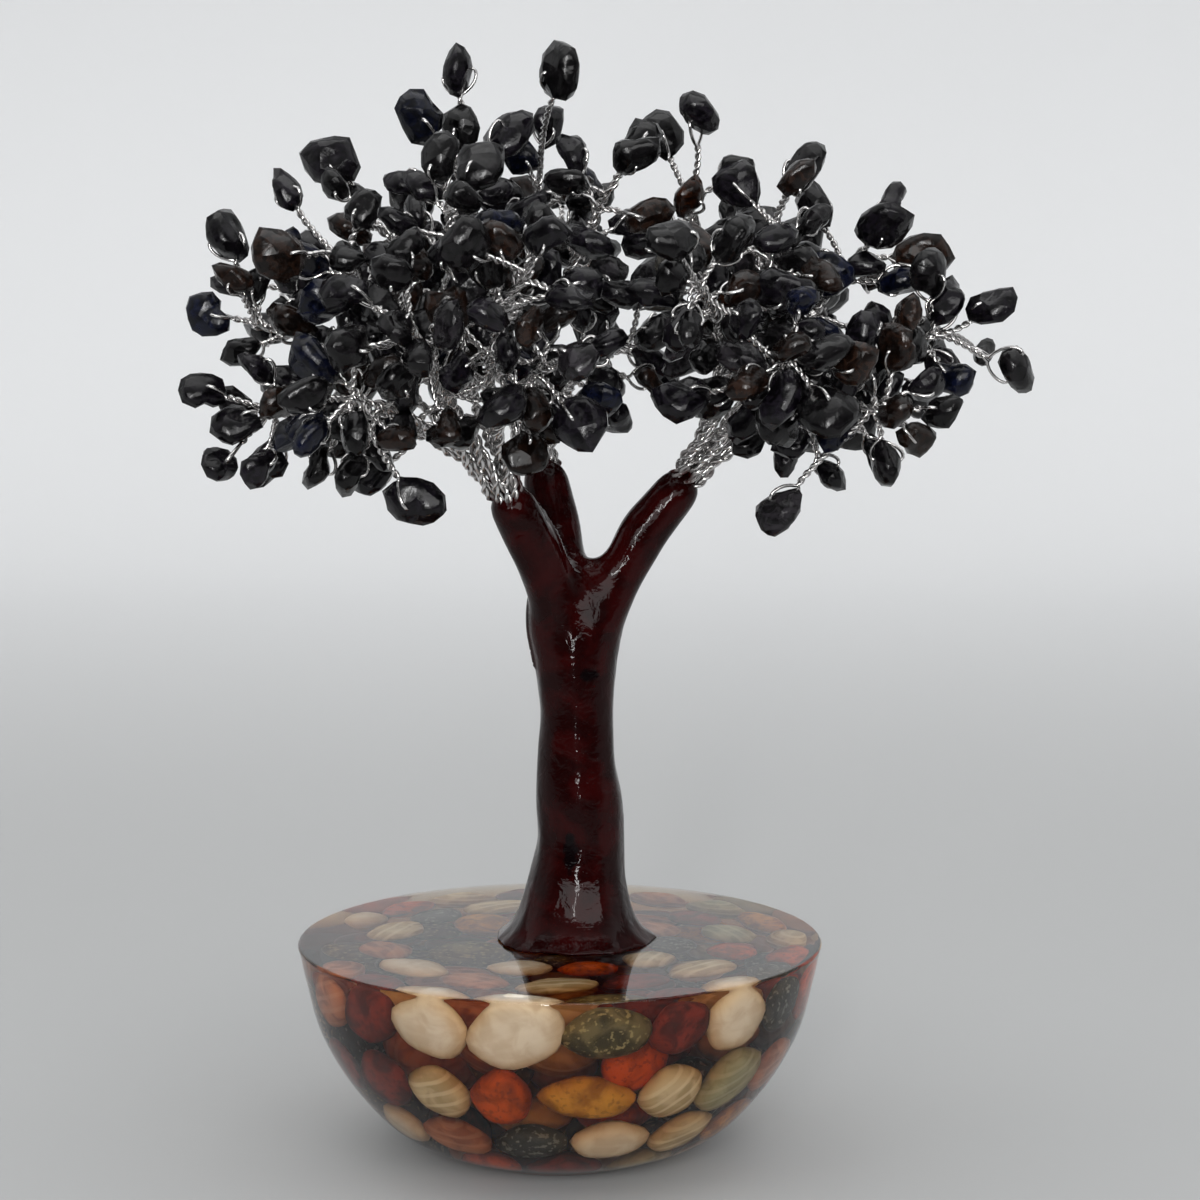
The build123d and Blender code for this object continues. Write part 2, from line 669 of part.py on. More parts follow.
def spread_apart(bases, centres, radii, reaches, owners, stems):
    """Move the stones until none touches another, a twig or a bundle, but no further than twigs reach."""
    count = len(centres)
    stem_owners, stem_starts, stem_ends = stems
    apart = ~np.eye(count, dtype=bool)
    pair_needed = radii[:, None] + radii[None, :] + PIECE_GAP
    twig_needed = np.full((count, count), TWIG_DIAMETER + PIECE_GAP)
    chip_twig_needed = radii[:, None] + TWIG_DIAMETER / 2 + PIECE_GAP + np.zeros((count, count))
    chip_stem_needed = radii[:, None] + BUNDLE_DIAMETER / 2 + PIECE_GAP + np.zeros((count, len(stem_owners)))
    twig_stem_needed = np.full(chip_stem_needed.shape, (BUNDLE_DIAMETER + TWIG_DIAMETER) / 2 + PIECE_GAP)
    foreign = stem_owners[None, :] != owners[:, None]
    for _ in range(SPREADING_ROUNDS):
        move = np.zeros_like(centres)
        lines = centres - bases
        lengths = np.linalg.norm(lines, axis=1)
        headings = lines / lengths[:, None]
        tips = centres - headings * reaches[:, None]
        chip_push = pushes(centres[:, None, :] - centres[None, :, :], pair_needed) * apart[..., None]
        move += CHIP_PUSH_SHARE * chip_push.sum(1)
        shares, steps = nearest_on_segments(centres, bases, tips)
        near_push = pushes(steps, chip_twig_needed) * apart[..., None]
        move += TWIG_PUSH_SHARE * (near_push.sum(1) - (near_push * shares[..., None]).sum(0))
        shares, steps = nearest_on_segments(centres, stem_starts, stem_ends)
        move += pushes(steps, chip_stem_needed).sum(1)
        s, t, steps = between_segments(bases, tips, bases, tips)
        twig_push = pushes(steps, twig_needed) * apart[..., None]
        move += (twig_push * s[..., None]).sum(1)
        s, t, steps = between_segments(bases, tips, stem_starts, stem_ends)
        move += (pushes(steps, twig_stem_needed) * (foreign * s)[..., None]).sum(1)
        if not move.any():
            break
        centres = centres + move
        lines = centres - bases
        lengths = np.linalg.norm(lines, axis=1)
        shortest = reaches + TWIG_DIAMETER + BUNDLE_DIAMETER
        kept = np.clip(lengths, shortest, np.maximum(shortest, LONGEST_TWIG))
        centres = bases + lines * (kept / lengths)[:, None]
    return centres


BRANCHES = all_branches()
TWIGS = wanted_twigs(BRANCHES)
CHIP_FORMS = [chip_form(k) for k in range(len(TWIGS))]
CHIP_RADII = np.array([chip_radius(form) for form in CHIP_FORMS])
RIM_REACHES = np.array([rim_reach(form) + CHIP_SEAT for form in CHIP_FORMS])
TWIG_BASES = np.array([twig[1] for twig in TWIGS])
TWIG_OWNERS = np.array([twig[0] for twig in TWIGS])
STEM_OWNERS = np.array([branch for branch, row in enumerate(BRANCHES) for _ in row[2][1:]])
STEM_STARTS = np.vstack([row[2][:-1] for row in BRANCHES])
STEM_ENDS = np.vstack([row[2][1:] for row in BRANCHES])
CHIP_CENTRES = spread_apart(
    TWIG_BASES,
    np.array([twig[2] for twig in TWIGS]),
    CHIP_RADII,
    RIM_REACHES,
    TWIG_OWNERS,
    (STEM_OWNERS, STEM_STARTS, STEM_ENDS),
)


def twig_start(index):
    """Where a twig's wire comes clear of its bundle, at the bundle's side or past its end."""
    base = TWIG_BASES[index]
    heading = unit(CHIP_CENTRES[index] - base)
    points = BRANCHES[TWIG_OWNERS[index]][2]
    runs = nearest_on_segments(base[None, :], points[:-1], points[1:])[1][0]
    run = int(np.argmin(np.linalg.norm(runs, axis=1)))
    along = heading @ unit(points[run + 1] - points[run])
    square = math.sqrt(max(1 - along * along, 0))
    reach = (BUNDLE_DIAMETER / 2 + TWIG_SEAT + TWIG_DIAMETER / 2 * abs(along)) / max(square, TWIG_LEAN_SHARE)
    if np.allclose(base, points[-1]) and along > square:
        reach = (TWIG_SEAT + TWIG_DIAMETER / 2 * square) / along
    return base + heading * reach


def hung_chip(index):
    """Rings of one chip, hung on its twig and turned about it."""
    heading = unit(CHIP_CENTRES[index] - TWIG_BASES[index])
    across, upward = side_directions(heading)
    angle = GOLDEN_TURN * index
    facing = math.cos(angle) * across + math.sin(angle) * upward
    return set_in_place(CHIP_FORMS[index], CHIP_CENTRES[index], heading, facing)


os.makedirs("parts", exist_ok=True)

# River pebbles, one group for each kind of stone
PEBBLES = all_pebbles()
pebble_groups = {}
for kind in dict.fromkeys(pebble[0] for pebble in PEBBLES):
    with BuildPart() as pebbles:
        add([faceted_solid(rings, flat_sides=True) for name, rings in PEBBLES if name == kind])
    pebbles.part.label = kind + "_pebbles"
    pebble_groups[kind] = pebbles.part
    export_step(pebbles.part, "parts/" + kind + "_pebbles.step")

# Wire core: the bundles gathered in the trunk, rooted in the resin and split between the limbs
root_share = -CORE_ROOT / TRUNK_HEIGHT
core_sections = [(root_share, 0, 1, 1)]
core_sections += [(*TRUNK_SECTION_SHARES[k][:2], 1, 1) for k in CORE_SECTIONS]
with BuildPart() as wire_core:
    add(faceted_solid(trunk_rings(CORE_DIAMETER, core_sections, CORE_SIDES, 0)))
    for limb in LIMB_END_SHARES:
        radii = tapered(CORE_DIAMETER - BUNDLE_DIAMETER, 2 * MOUTH_RADIUS, LIMB_STEPS + 1)
        add(faceted_solid(limb_rings(core_path(limb), radii, CORE_SIDES)))
wire_core.part.label = "wire_core"
export_step(wire_core.part, "parts/wire_core.step")

# Trunk coating: painted paste over the core, with a flared foot and three open limbs
with BuildPart() as trunk_coating:
    add(faceted_solid(trunk_rings(TRUNK_WIDTH, TRUNK_SECTION_SHARES, TRUNK_SIDES, TOE_SHARE)))
    for limb in LIMB_END_SHARES:
        radii = tapered(LIMB_DIAMETER, LIMB_END_DIAMETER, LIMB_STEPS + 1)
        add(faceted_solid(limb_rings(limb_path(limb), radii, LIMB_SIDES)))
    for limb in LIMB_END_SHARES:
        path = limb_path(limb)
        mouth = np.array((core_path(limb)[-1], path[-1] + unit(path[-1] - path[-2]) * LIMB_LIP))
        radii = [MOUTH_RADIUS] * len(mouth)
        add(faceted_solid(limb_rings(mouth, radii, LIMB_SIDES)), mode=Mode.SUBTRACT)
    add(wire_core.part, mode=Mode.SUBTRACT)
trunk_coating.part.label = "trunk_coating"
export_step(trunk_coating.part, "parts/trunk_coating.step")

# Resin dome, with a cavity round every pebble and round the root of the wire core
with BuildPart() as resin_dome:
    with BuildSketch(Plane.XZ):
        with BuildLine():
            Polyline((0, 0), *WALL, (0, DOME_HEIGHT), close=True)
        make_face()
    revolve(axis=Axis.Z)
    for group in pebble_groups.values():
        add(group, mode=Mode.SUBTRACT)
    add(wire_core.part, mode=Mode.SUBTRACT)
resin_dome.part.label = "resin_dome"
export_step(resin_dome.part, "parts/resin_dome.step")

# Wire branches, each a bundle with the twigs that leave it
for branch, (limb, number, points) in enumerate(BRANCHES):
    heading = unit(points[1] - points[0])
    with BuildPart() as wires:
        with BuildLine():
            Polyline(*[Vector(*point) for point in points])
        with BuildSketch(Plane(origin=Vector(*points[0]), z_dir=Vector(*heading))):
            RegularPolygon(radius=BUNDLE_DIAMETER / 2, side_count=BUNDLE_SIDES)
        sweep(transition=Transition.RIGHT)
        for index in np.flatnonzero(TWIG_OWNERS == branch):
            heading = unit(CHIP_CENTRES[index] - TWIG_BASES[index])
            start = twig_start(index)
            end = CHIP_CENTRES[index] - heading * RIM_REACHES[index]
            with BuildSketch(Plane(origin=Vector(*start), z_dir=Vector(*heading))):
                RegularPolygon(radius=TWIG_DIAMETER / 2, side_count=TWIG_SIDES)
            extrude(amount=float(np.linalg.norm(end - start)))
    wires.part.label = limb + "_wires_" + str(number)
    export_step(wires.part, "parts/" + wires.part.label + ".step")

# Gemstone chips, grouped by the branch that carries them
for branch, (limb, number, points) in enumerate(BRANCHES):
    with BuildPart() as chips:
        for index in np.flatnonzero(TWIG_OWNERS == branch):
            add(faceted_solid(hung_chip(index), flat_sides=True))
    chips.part.label = limb + "_chips_" + str(number)
    export_step(chips.part, "parts/" + chips.part.label + ".step")
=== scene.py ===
import copy
import math

import bpy
import numpy as np
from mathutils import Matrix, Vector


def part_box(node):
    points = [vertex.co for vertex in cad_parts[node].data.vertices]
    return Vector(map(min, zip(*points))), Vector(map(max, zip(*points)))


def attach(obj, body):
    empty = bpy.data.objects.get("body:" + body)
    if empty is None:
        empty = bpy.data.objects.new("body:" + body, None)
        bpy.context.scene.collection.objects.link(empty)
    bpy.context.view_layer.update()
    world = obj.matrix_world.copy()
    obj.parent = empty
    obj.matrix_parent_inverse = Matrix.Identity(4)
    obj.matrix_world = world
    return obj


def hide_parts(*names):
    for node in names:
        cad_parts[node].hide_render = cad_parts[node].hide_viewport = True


# Gemstone tree: polished chips on twisted wire, a lacquered forked trunk, and a clear dome full of pebbles.
# Metres. The origin is the centre of the flat foot, +X is to the right, +Y away from the viewer and +Z up.

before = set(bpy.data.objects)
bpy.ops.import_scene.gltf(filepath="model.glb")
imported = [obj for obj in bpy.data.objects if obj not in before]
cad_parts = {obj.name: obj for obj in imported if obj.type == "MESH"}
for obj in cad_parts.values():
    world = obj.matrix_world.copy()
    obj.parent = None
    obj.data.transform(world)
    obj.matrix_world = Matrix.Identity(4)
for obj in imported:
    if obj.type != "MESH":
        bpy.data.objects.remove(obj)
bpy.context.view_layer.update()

MM = 0.001
LIMBS = ("front_left", "rear_left", "right")
BRANCHES = range(1, 9)
SHAPE_SEED = 7
random = np.random.default_rng(SHAPE_SEED)
# The slow waves that swell and bend things start anywhere in this range of radians
WAVE_PHASES = (0, 6)
# Each stone reads its pattern from a place of its own, this many millimetres off at most
PATTERN_SHIFT = 500

# The dome's wall, as shares of its radius and height, from the edge of its foot to its rim
BOWL_PROFILE_SHARES = ((0.37, 0.0), (0.62, 0.13), (0.79, 0.335), (0.915, 0.59), (0.972, 0.84), (1.0, 1.0))
dome_low, dome_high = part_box("resin_dome")
DOME_TOP = dome_high.z
DOME_RADIUS = (dome_high.x - dome_low.x) / 2
DOME_WALL = np.array(BOWL_PROFILE_SHARES) * (DOME_RADIUS, DOME_TOP)
TRUNK_OFFSET = 2.0 * MM


def unit(vectors):
    """Vectors at a length of one."""
    return vectors / np.linalg.norm(vectors, axis=-1)[..., None]


# Reading the CAD solids


def corners_and_triangles(node):
    """A CAD node's distinct corners, and its triangles as numbers into them."""
    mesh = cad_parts[node].data
    mesh.calc_loop_triangles()
    places = np.zeros(len(mesh.vertices) * 3, np.float32)
    mesh.vertices.foreach_get("co", places)
    triangles = np.zeros(len(mesh.loop_triangles) * 3, np.int32)
    mesh.loop_triangles.foreach_get("vertices", triangles)
    micron = MM / 1000
    rounded = np.round(places.reshape(-1, 3) / micron).astype(np.int64)
    corners, number = np.unique(rounded, axis=0, return_inverse=True)
    return corners * micron, number.reshape(-1)[triangles].reshape(-1, 3)


def joined_labels(count, links):
    """One label for all things that links join: the lowest label is passed on until nothing changes."""
    labels = np.arange(count)
    while True:
        lowest = labels[links].min(1)
        passed = labels.copy()
        for side in range(links.shape[1]):
            np.minimum.at(passed, links[:, side], lowest)
        passed = passed[passed]
        if (passed == labels).all():
            return labels
        labels = passed


def separate_solids(node):
    """Corners and triangles of each solid of a CAD node."""
    corners, triangles = corners_and_triangles(node)
    labels = joined_labels(len(corners), triangles)
    solids = []
    for label in np.unique(labels):
        mine = labels == label
        renumbered = np.cumsum(mine) - 1
        solids.append((corners[mine], renumbered[triangles[mine[triangles[:, 0]]]]))
    return solids


def own_axes(corners):
    """Centre of some corners and their long, middle and short directions, as rows of a right-handed turn."""
    centre = corners.mean(0)
    axes = np.linalg.svd(corners - centre)[2]
    if np.linalg.det(axes) < 0:
        axes[2] = -axes[2]
    return centre, axes


def facets_of(corners, triangles):
    """Outward normal and distance from the origin of each flat, taking triangles that face alike as one."""
    a, b, c = (corners[triangles[:, side]] for side in range(3))
    normals = unit(np.cross(b - a, c - a))
    first = np.unique(np.round(normals, 2), axis=0, return_index=True)[1]
    return normals[first], (a * normals).sum(1)[first]


# Surfaces


def add_piece(name, points, faces, material, slot, nodes, **attributes):
    """A smooth-shaded mesh at the origin that rides on the root body and stands for some CAD nodes."""
    mesh = bpy.data.meshes.new(name)
    mesh.from_pydata(points.tolist(), [], faces)
    mesh.polygons.foreach_set("use_smooth", np.ones(len(faces), bool))
    for key, values in attributes.items():
        kind = "FLOAT" if values.ndim == 1 else "FLOAT_VECTOR"
        made = mesh.attributes.new(key, kind, "POINT")
        made.data.foreach_set("value" if values.ndim == 1 else "vector", values.astype(np.float32).ravel())
    mesh.materials.append(material)
    piece = bpy.data.objects.new(name, mesh)
    bpy.context.scene.collection.objects.link(piece)
    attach(piece, "root")
    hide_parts(*nodes)


def ring_faces(number):
    """Four-sided faces between each ring of numbered points and the next, where the rings close."""
    after = np.roll(number, -1, axis=-1)
    corners = (number[..., :-1, :], after[..., :-1, :], after[..., 1:, :], number[..., 1:, :])
    return np.stack(corners, -1).reshape(-1, 4)


def sphere_grid(rows, columns):
    """Directions over a sphere and the faces between them. With p from pole to pole and a all the way round,
    each is (sin p cos a, sin p sin a, cos p)."""
    polar = np.pi * np.arange(1, rows) / rows
    around = 2 * np.pi * np.arange(columns) / columns
    polar, around = np.meshgrid(polar, around, indexing="ij")
    ring = np.stack((np.sin(polar) * np.cos(around), np.sin(polar) * np.sin(around), np.cos(polar)), -1)
    directions = np.vstack(([(0, 0, 1)], ring.reshape(-1, 3), [(0, 0, -1)]))
    number = 1 + np.arange((rows - 1) * columns).reshape(rows - 1, columns)
    first, last = number[0], number[-1]
    quads = ring_faces(number)[:, (0, 3, 2, 1)]
    top = np.stack((np.zeros(columns, int), first, np.roll(first, -1)), -1)
    bottom = np.stack((np.full(columns, len(directions) - 1), np.roll(last, -1), last), -1)
    return directions, quads.tolist() + top.tolist() + bottom.tolist()


def rounded_reach(directions, flats, softness):
    """Distance to a rounded skin: the softness-norm of how near each flat is, so that edges round off."""
    normals, offsets = flats
    nearness = np.maximum(directions @ normals.T / offsets, 0)
    return (nearness**softness).sum(-1) ** (-1 / softness)


class Nugget:
    """A tumbled stone: a faceted solid's skin, rounded off, swollen by two slow waves and stretched to size.

    Its skin is in its own long, middle and short directions, and each side of its centre is stretched to
    reach as far as the solid does there."""

    # The waves turn this many radians from the centre to the skin at most, along each direction
    WAVE_SPAN = 2.2
    DEPTH_ROUNDS = 5
    MEASURING_GRID = sphere_grid(12, 20)[0]

    def __init__(self, solid, softness, fullness, lump):
        corners, triangles = solid
        self.lump = lump
        self.waves = random.uniform(-self.WAVE_SPAN, self.WAVE_SPAN, (3, 2))
        self.phase = random.uniform(0, 2 * np.pi, 2)
        self.centre, self.axes = own_axes(corners)
        own = (corners - self.centre) @ self.axes.T * fullness
        self.flats = facets_of(own, triangles)
        self.softness = softness
        self.half = np.abs(own).max(0)
        skin = self.MEASURING_GRID * self.reach(self.MEASURING_GRID)
        self.stretch = own.min(0) / skin.min(0), own.max(0) / skin.max(0)

    def reach(self, directions):
        """Distance from the centre to the skin before it is stretched: the rounded reach times the waves."""
        swell = 1 + self.lump * np.sin(directions @ self.waves + self.phase).sum(-1)
        return (rounded_reach(directions, self.flats, self.softness) * swell)[:, None]

    def skin(self, directions):
        """Points of the skin, in the stone's own axes, in directions given in those axes."""
        stretch = np.where(directions > 0, self.stretch[1], self.stretch[0])
        raw = unit(directions / stretch)
        return raw * self.reach(raw) * stretch

    def surface(self, grid):
        """Points of the skin in the row frame and in the stone's own axes, over a grid of directions."""
        own = self.skin(unit(grid * self.half))
        return self.centre + own @ self.axes, own

    def gap(self, points):
        """How far some points are outside the skin, along the lines from the stone's centre."""
        own = (points - self.centre) @ self.axes.T
        return np.linalg.norm(own, axis=1) - np.linalg.norm(self.skin(own), axis=1)

    def depth(self, point, way):
        """Distance from a point inside the stone to its skin along one way, by shooting and correcting."""
        depth = self.half[2]
        for _ in range(self.DEPTH_ROUNDS):
            own = (point + way * depth - self.centre) @ self.axes.T
            reached = np.linalg.norm(self.skin(own[None])[0])
            depth *= reached / np.linalg.norm(own)
        return depth


def stacked(pieces):
    """Several meshes as one: their points in a row, and their faces renumbered to suit."""
    points = []
    faces = []
    count = 0
    for piece_points, piece_faces in pieces:
        points.append(piece_points)
        faces += [[corner + count for corner in face] for face in piece_faces]
        count += len(piece_points)
    return np.vstack(points), faces


CURVE_SAMPLES = 24


def smooth_curve(points, count):
    """Catmull-Rom curve through some points, cut into evenly spaced ones. Each run is a cubic whose slope at
    a point is half the step from the point before it to the one after it."""
    before = np.vstack((2 * points[0] - points[1], points[:-1]))
    after = np.vstack((points[1:], 2 * points[-1] - points[-2]))
    slopes = (after - before) / 2
    t = np.linspace(0, 1, CURVE_SAMPLES + 1)[:-1, None, None]
    a, b = points[:-1], points[1:]
    runs = (2 * t**3 - 3 * t**2 + 1) * a + (t**3 - 2 * t**2 + t) * slopes[:-1]
    runs = runs + (3 * t**2 - 2 * t**3) * b + (t**3 - t**2) * slopes[1:]
    curve = np.vstack((runs.transpose(1, 0, 2).reshape(-1, 3), points[-1:]))
    lengths = np.concatenate(([0], np.cumsum(np.linalg.norm(np.diff(curve, axis=0), axis=1))))
    even = np.linspace(0, lengths[-1], count)
    return np.stack([np.interp(even, lengths, curve[:, side]) for side in range(3)], -1)


def carried_frames(paths):
    """Two directions square to each path at each of its points, turned as little as the path allows."""
    ahead = unit(np.gradient(paths, axis=1))
    least = np.eye(3)[np.abs(ahead[:, 0]).argmin(1)]
    across = [unit(np.cross(ahead[:, 0], least))]
    for step in range(1, paths.shape[1]):
        now = across[-1] - (across[-1] * ahead[:, step]).sum(-1)[:, None] * ahead[:, step]
        across.append(unit(now))
    across = np.stack(across, 1)
    return across, np.cross(ahead, across)


def tubes(paths, radius, sides):
    """Round wires: a ring of corners, at a radius, carried along each path, with its ends closed."""
    across, upward = carried_frames(paths)
    angle = 2 * np.pi * np.arange(sides) / sides
    ring = np.cos(angle)[:, None] * across[:, :, None] + np.sin(angle)[:, None] * upward[:, :, None]
    points = paths[:, :, None] + radius * ring
    wires, steps = paths.shape[:2]
    number = np.arange(wires * steps * sides).reshape(wires, steps, sides)
    ends = number[:, 0, ::-1].tolist() + number[:, -1].tolist()
    return points.reshape(-1, 3), ring_faces(number).tolist() + ends


def bezier(a, b, c, d, count):
    """Bezier cubics from a to d, drawn towards b and c, for whole rows of curves at once."""
    t = np.linspace(0, 1, count)[:, None]
    a, b, c, d = (corner[:, None] for corner in (a, b, c, d))
    return (1 - t) ** 3 * a + 3 * t * (1 - t) ** 2 * b + 3 * t**2 * (1 - t) * c + t**3 * d


# Materials


def linear(hex_colour):
    """Linear red, green, blue and alpha of an sRGB hex colour."""
    parts = np.array([int(hex_colour[place : place + 2], 16) for place in (1, 3, 5)]) / 255
    curved = np.where(parts <= 0.04045, parts / 12.92, ((parts + 0.055) / 1.055) ** 2.4)
    return (*curved, 1.0)


def add_node(tree, kind, sockets=None, **settings):
    """A shader node with its settings, and each socket given a value or linked to another node's output."""
    made = tree.nodes.new(kind)
    for key, value in settings.items():
        setattr(made, key, value)
    for key, value in (sockets or {}).items():
        if isinstance(value, bpy.types.NodeSocket):
            tree.links.new(value, made.inputs[key])
        else:
            made.inputs[key].default_value = value
    return made


def new_material(name):
    """An empty material with its node tree."""
    made = bpy.data.materials.new(name)
    made.use_nodes = True
    made.node_tree.nodes.clear()
    return made, made.node_tree


def finish_surface(tree, sockets, **others):
    """The one surface shader of a material, linked to its output."""
    surface = add_node(tree, "ShaderNodeBsdfPrincipled", sockets)
    add_node(tree, "ShaderNodeOutputMaterial", {"Surface": surface.outputs[0], **others})


def river_stone(name, pale, deep, vein, band=0.0, speck=0.0):
    """A river pebble worn smooth by water: soft blotches about 4 mm wide, with bands about 2 mm apart in some
    and specks 1 mm wide in others."""
    made, tree = new_material(name)
    place = add_node(tree, "ShaderNodeAttribute", attribute_name="stone_place").outputs["Vector"]
    sockets = {"Vector": place, "Scale": 1 / 4.0, "Detail": 3.0, "Distortion": 0.6}
    blotches = add_node(tree, "ShaderNodeTexNoise", sockets).outputs[0]
    sockets = {0: blotches, 1: 0.38, 2: 0.62}
    share = add_node(tree, "ShaderNodeMapRange", sockets, interpolation_type="SMOOTHSTEP").outputs[0]
    sockets = {0: share, 6: linear(pale), 7: linear(deep)}
    colour = add_node(tree, "ShaderNodeMix", sockets, data_type="RGBA").outputs[2]
    patterns = []
    if band:
        sockets = {"Vector": place, "Scale": 0.16, "Distortion": 2.6, "Detail": 2.0, "Detail Scale": 0.5}
        waves = add_node(tree, "ShaderNodeTexWave", sockets, bands_direction="Y").outputs[1]
        patterns.append((waves, 0.6, 0.95, band))
    if speck:
        sockets = {"Vector": place, "Scale": 1 / 0.9, "Detail": 2.0}
        grains = add_node(tree, "ShaderNodeTexNoise", sockets).outputs[0]
        patterns.append((grains, 0.56, 0.66, speck))
    for pattern, low, high, most in patterns:
        sockets = {0: pattern, 1: low, 2: high}
        sharp = add_node(tree, "ShaderNodeMapRange", sockets, interpolation_type="SMOOTHSTEP").outputs[0]
        share = add_node(tree, "ShaderNodeMath", {0: sharp, 1: most}, operation="MULTIPLY").outputs[0]
        sockets = {0: share, 6: colour, 7: linear(vein)}
        colour = add_node(tree, "ShaderNodeMix", sockets, data_type="RGBA").outputs[2]
    # A stone cast in resin hardly reflects at its own skin, because the resin is about as dense as the stone
    finish_surface(tree, {"Base Color": colour, "Roughness": 0.45, "IOR": 1.5, "Specular IOR Level": 0.06})
    return made


# Quartz, limestone, jasper, sandstone and basalt pebbles, as sold in mixed bags to fill pots
PEBBLE_STONES = {
    "white": river_stone("white_quartz_pebble", "#ece5d8", "#d9cdbb", "#f6f1e6", band=0.12),
    "cream": river_stone("banded_limestone_pebble", "#d6c9a8", "#b5a582", "#ece3ca", band=0.6),
    "orange": river_stone("orange_jasper_pebble", "#c85412", "#8e3a0a", "#5e2a14", speck=0.5),
    "red": river_stone("red_jasper_pebble", "#7e2a1e", "#4c150f", "#2c0f0c", speck=0.4),
    "ochre": river_stone("yellow_sandstone_pebble", "#cc9234", "#9c661e", "#6e4a20", speck=0.4),
    "speckled_green": river_stone("speckled_serpentine_pebble", "#6e6444", "#3f3a26", "#978a5e", speck=0.9),
    "dark_grey": river_stone("basalt_pebble", "#3c4044", "#1f2225", "#8d9190", speck=0.7),
    "sage": river_stone("grey_green_chert_pebble", "#a9ab8e", "#878b70", "#c6c6ac", band=0.4),
    "salmon": river_stone("salmon_sandstone_pebble", "#b97a5a", "#8f543b", "#cf9f82", band=0.3),
}


def tumbled_iolite():
    """Tumbled and polished iolite chips: near-black violet glass, cloudy inside, with shallow chipped faces
    about 3 mm wide that catch the light one by one."""
    made, tree = new_material("tumbled_iolite")
    place = add_node(tree, "ShaderNodeAttribute", attribute_name="stone_place").outputs["Vector"]
    tone = add_node(tree, "ShaderNodeAttribute", attribute_name="stone_colour").outputs["Vector"]
    sockets = {"Vector": place, "Scale": 1 / 1.8, "Detail": 4.0, "Distortion": 1.2}
    clouds = add_node(tree, "ShaderNodeTexNoise", sockets).outputs[0]
    sockets = {0: clouds, 1: 0.4, 2: 0.66}
    share = add_node(tree, "ShaderNodeMapRange", sockets, interpolation_type="SMOOTHSTEP").outputs[0]
    dark = add_node(tree, "ShaderNodeVectorMath", {0: tone, 3: 0.18}, operation="SCALE").outputs[0]
    pale = add_node(tree, "ShaderNodeVectorMath", {0: tone, 3: 1.05}, operation="SCALE").outputs[0]
    colour = add_node(tree, "ShaderNodeMix", {0: share, 6: dark, 7: pale}, data_type="RGBA").outputs[2]
    chipped = add_node(tree, "ShaderNodeTexVoronoi", {"Vector": place, "Scale": 0.3}).outputs[0]
    sockets = {"Height": chipped, "Strength": 0.7, "Distance": 1.0 * MM}
    bump = add_node(tree, "ShaderNodeBump", sockets).outputs[0]
    pits = add_node(tree, "ShaderNodeTexNoise", {"Vector": place, "Scale": 1 / 0.9, "Detail": 2.0}).outputs[0]
    sockets = {"Height": pits, "Strength": 0.3, "Distance": 0.2 * MM, "Normal": bump}
    bump = add_node(tree, "ShaderNodeBump", sockets).outputs[0]
    sockets = {"Base Color": colour, "Roughness": 0.2, "IOR": 1.4, "Specular IOR Level": 0.4, "Normal": bump}
    finish_surface(tree, sockets)
    return made


def craft_wire():
    """Drawn aluminium craft wire: a bright mirror-like metal, dark red at its roots, where lacquer ran."""
    made, tree = new_material("drawn_aluminium_wire")
    paint = add_node(tree, "ShaderNodeAttribute", attribute_name="paint").outputs["Fac"]
    sockets = {0: paint, 6: linear("#cfcdcc"), 7: linear("#2c0605")}
    colour = add_node(tree, "ShaderNodeMix", sockets, data_type="RGBA").outputs[2]
    bare = add_node(tree, "ShaderNodeMath", {0: 1.0, 1: paint}, operation="SUBTRACT").outputs[0]
    finish_surface(tree, {"Base Color": colour, "Metallic": bare, "Roughness": 0.14})
    return made


def trunk_lacquer():
    """Oxblood lacquer brushed over modelling paste: almost black red under a thick wet gloss, with black
    drips, and ripples about 2 mm apart that break up its highlights."""
    made, tree = new_material("oxblood_lacquer")
    metres = add_node(tree, "ShaderNodeTexCoord").outputs["Object"]
    place = add_node(tree, "ShaderNodeVectorMath", {0: metres, 3: 1 / MM}, operation="SCALE").outputs[0]
    sockets = {"Vector": place, "Scale": 1 / 5.0, "Detail": 3.0, "Distortion": 0.4}
    streaks = add_node(tree, "ShaderNodeTexNoise", sockets).outputs[0]
    sockets = {0: streaks, 1: 0.4, 2: 0.66}
    share = add_node(tree, "ShaderNodeMapRange", sockets, interpolation_type="SMOOTHSTEP").outputs[0]
    sockets = {0: share, 6: linear("#170202"), 7: linear("#270404")}
    colour = add_node(tree, "ShaderNodeMix", sockets, data_type="RGBA").outputs[2]
    drips = add_node(tree, "ShaderNodeAttribute", attribute_name="spots").outputs["Fac"]
    sockets = {0: drips, 6: colour, 7: linear("#080304")}
    colour = add_node(tree, "ShaderNodeMix", sockets, data_type="RGBA").outputs[2]
    sockets = {"Vector": place, "Scale": 1 / 1.9, "Detail": 3.0, "Distortion": 0.6}
    brushed = add_node(tree, "ShaderNodeTexNoise", sockets).outputs[0]
    sockets = {"Height": brushed, "Strength": 0.62, "Distance": 0.2 * MM}
    bump = add_node(tree, "ShaderNodeBump", sockets).outputs[0]
    sockets = {"Base Color": colour, "Roughness": 0.07, "IOR": 1.3, "Specular IOR Level": 0.3, "Normal": bump}
    finish_surface(tree, sockets)
    return made


def cast_resin():
    """Clear cast polyester resin, polished: glass-like, and yellow through its depth."""
    made, tree = new_material("clear_cast_resin")
    sockets = {"Color": linear("#e5bd59"), "Density": 200.0}
    depth = add_node(tree, "ShaderNodeVolumeAbsorption", sockets).outputs[0]
    sockets = {"Base Color": (1, 1, 1, 1), "Roughness": 0.0, "IOR": 1.4, "Transmission Weight": 1.0}
    finish_surface(tree, sockets, Volume=depth)
    return made


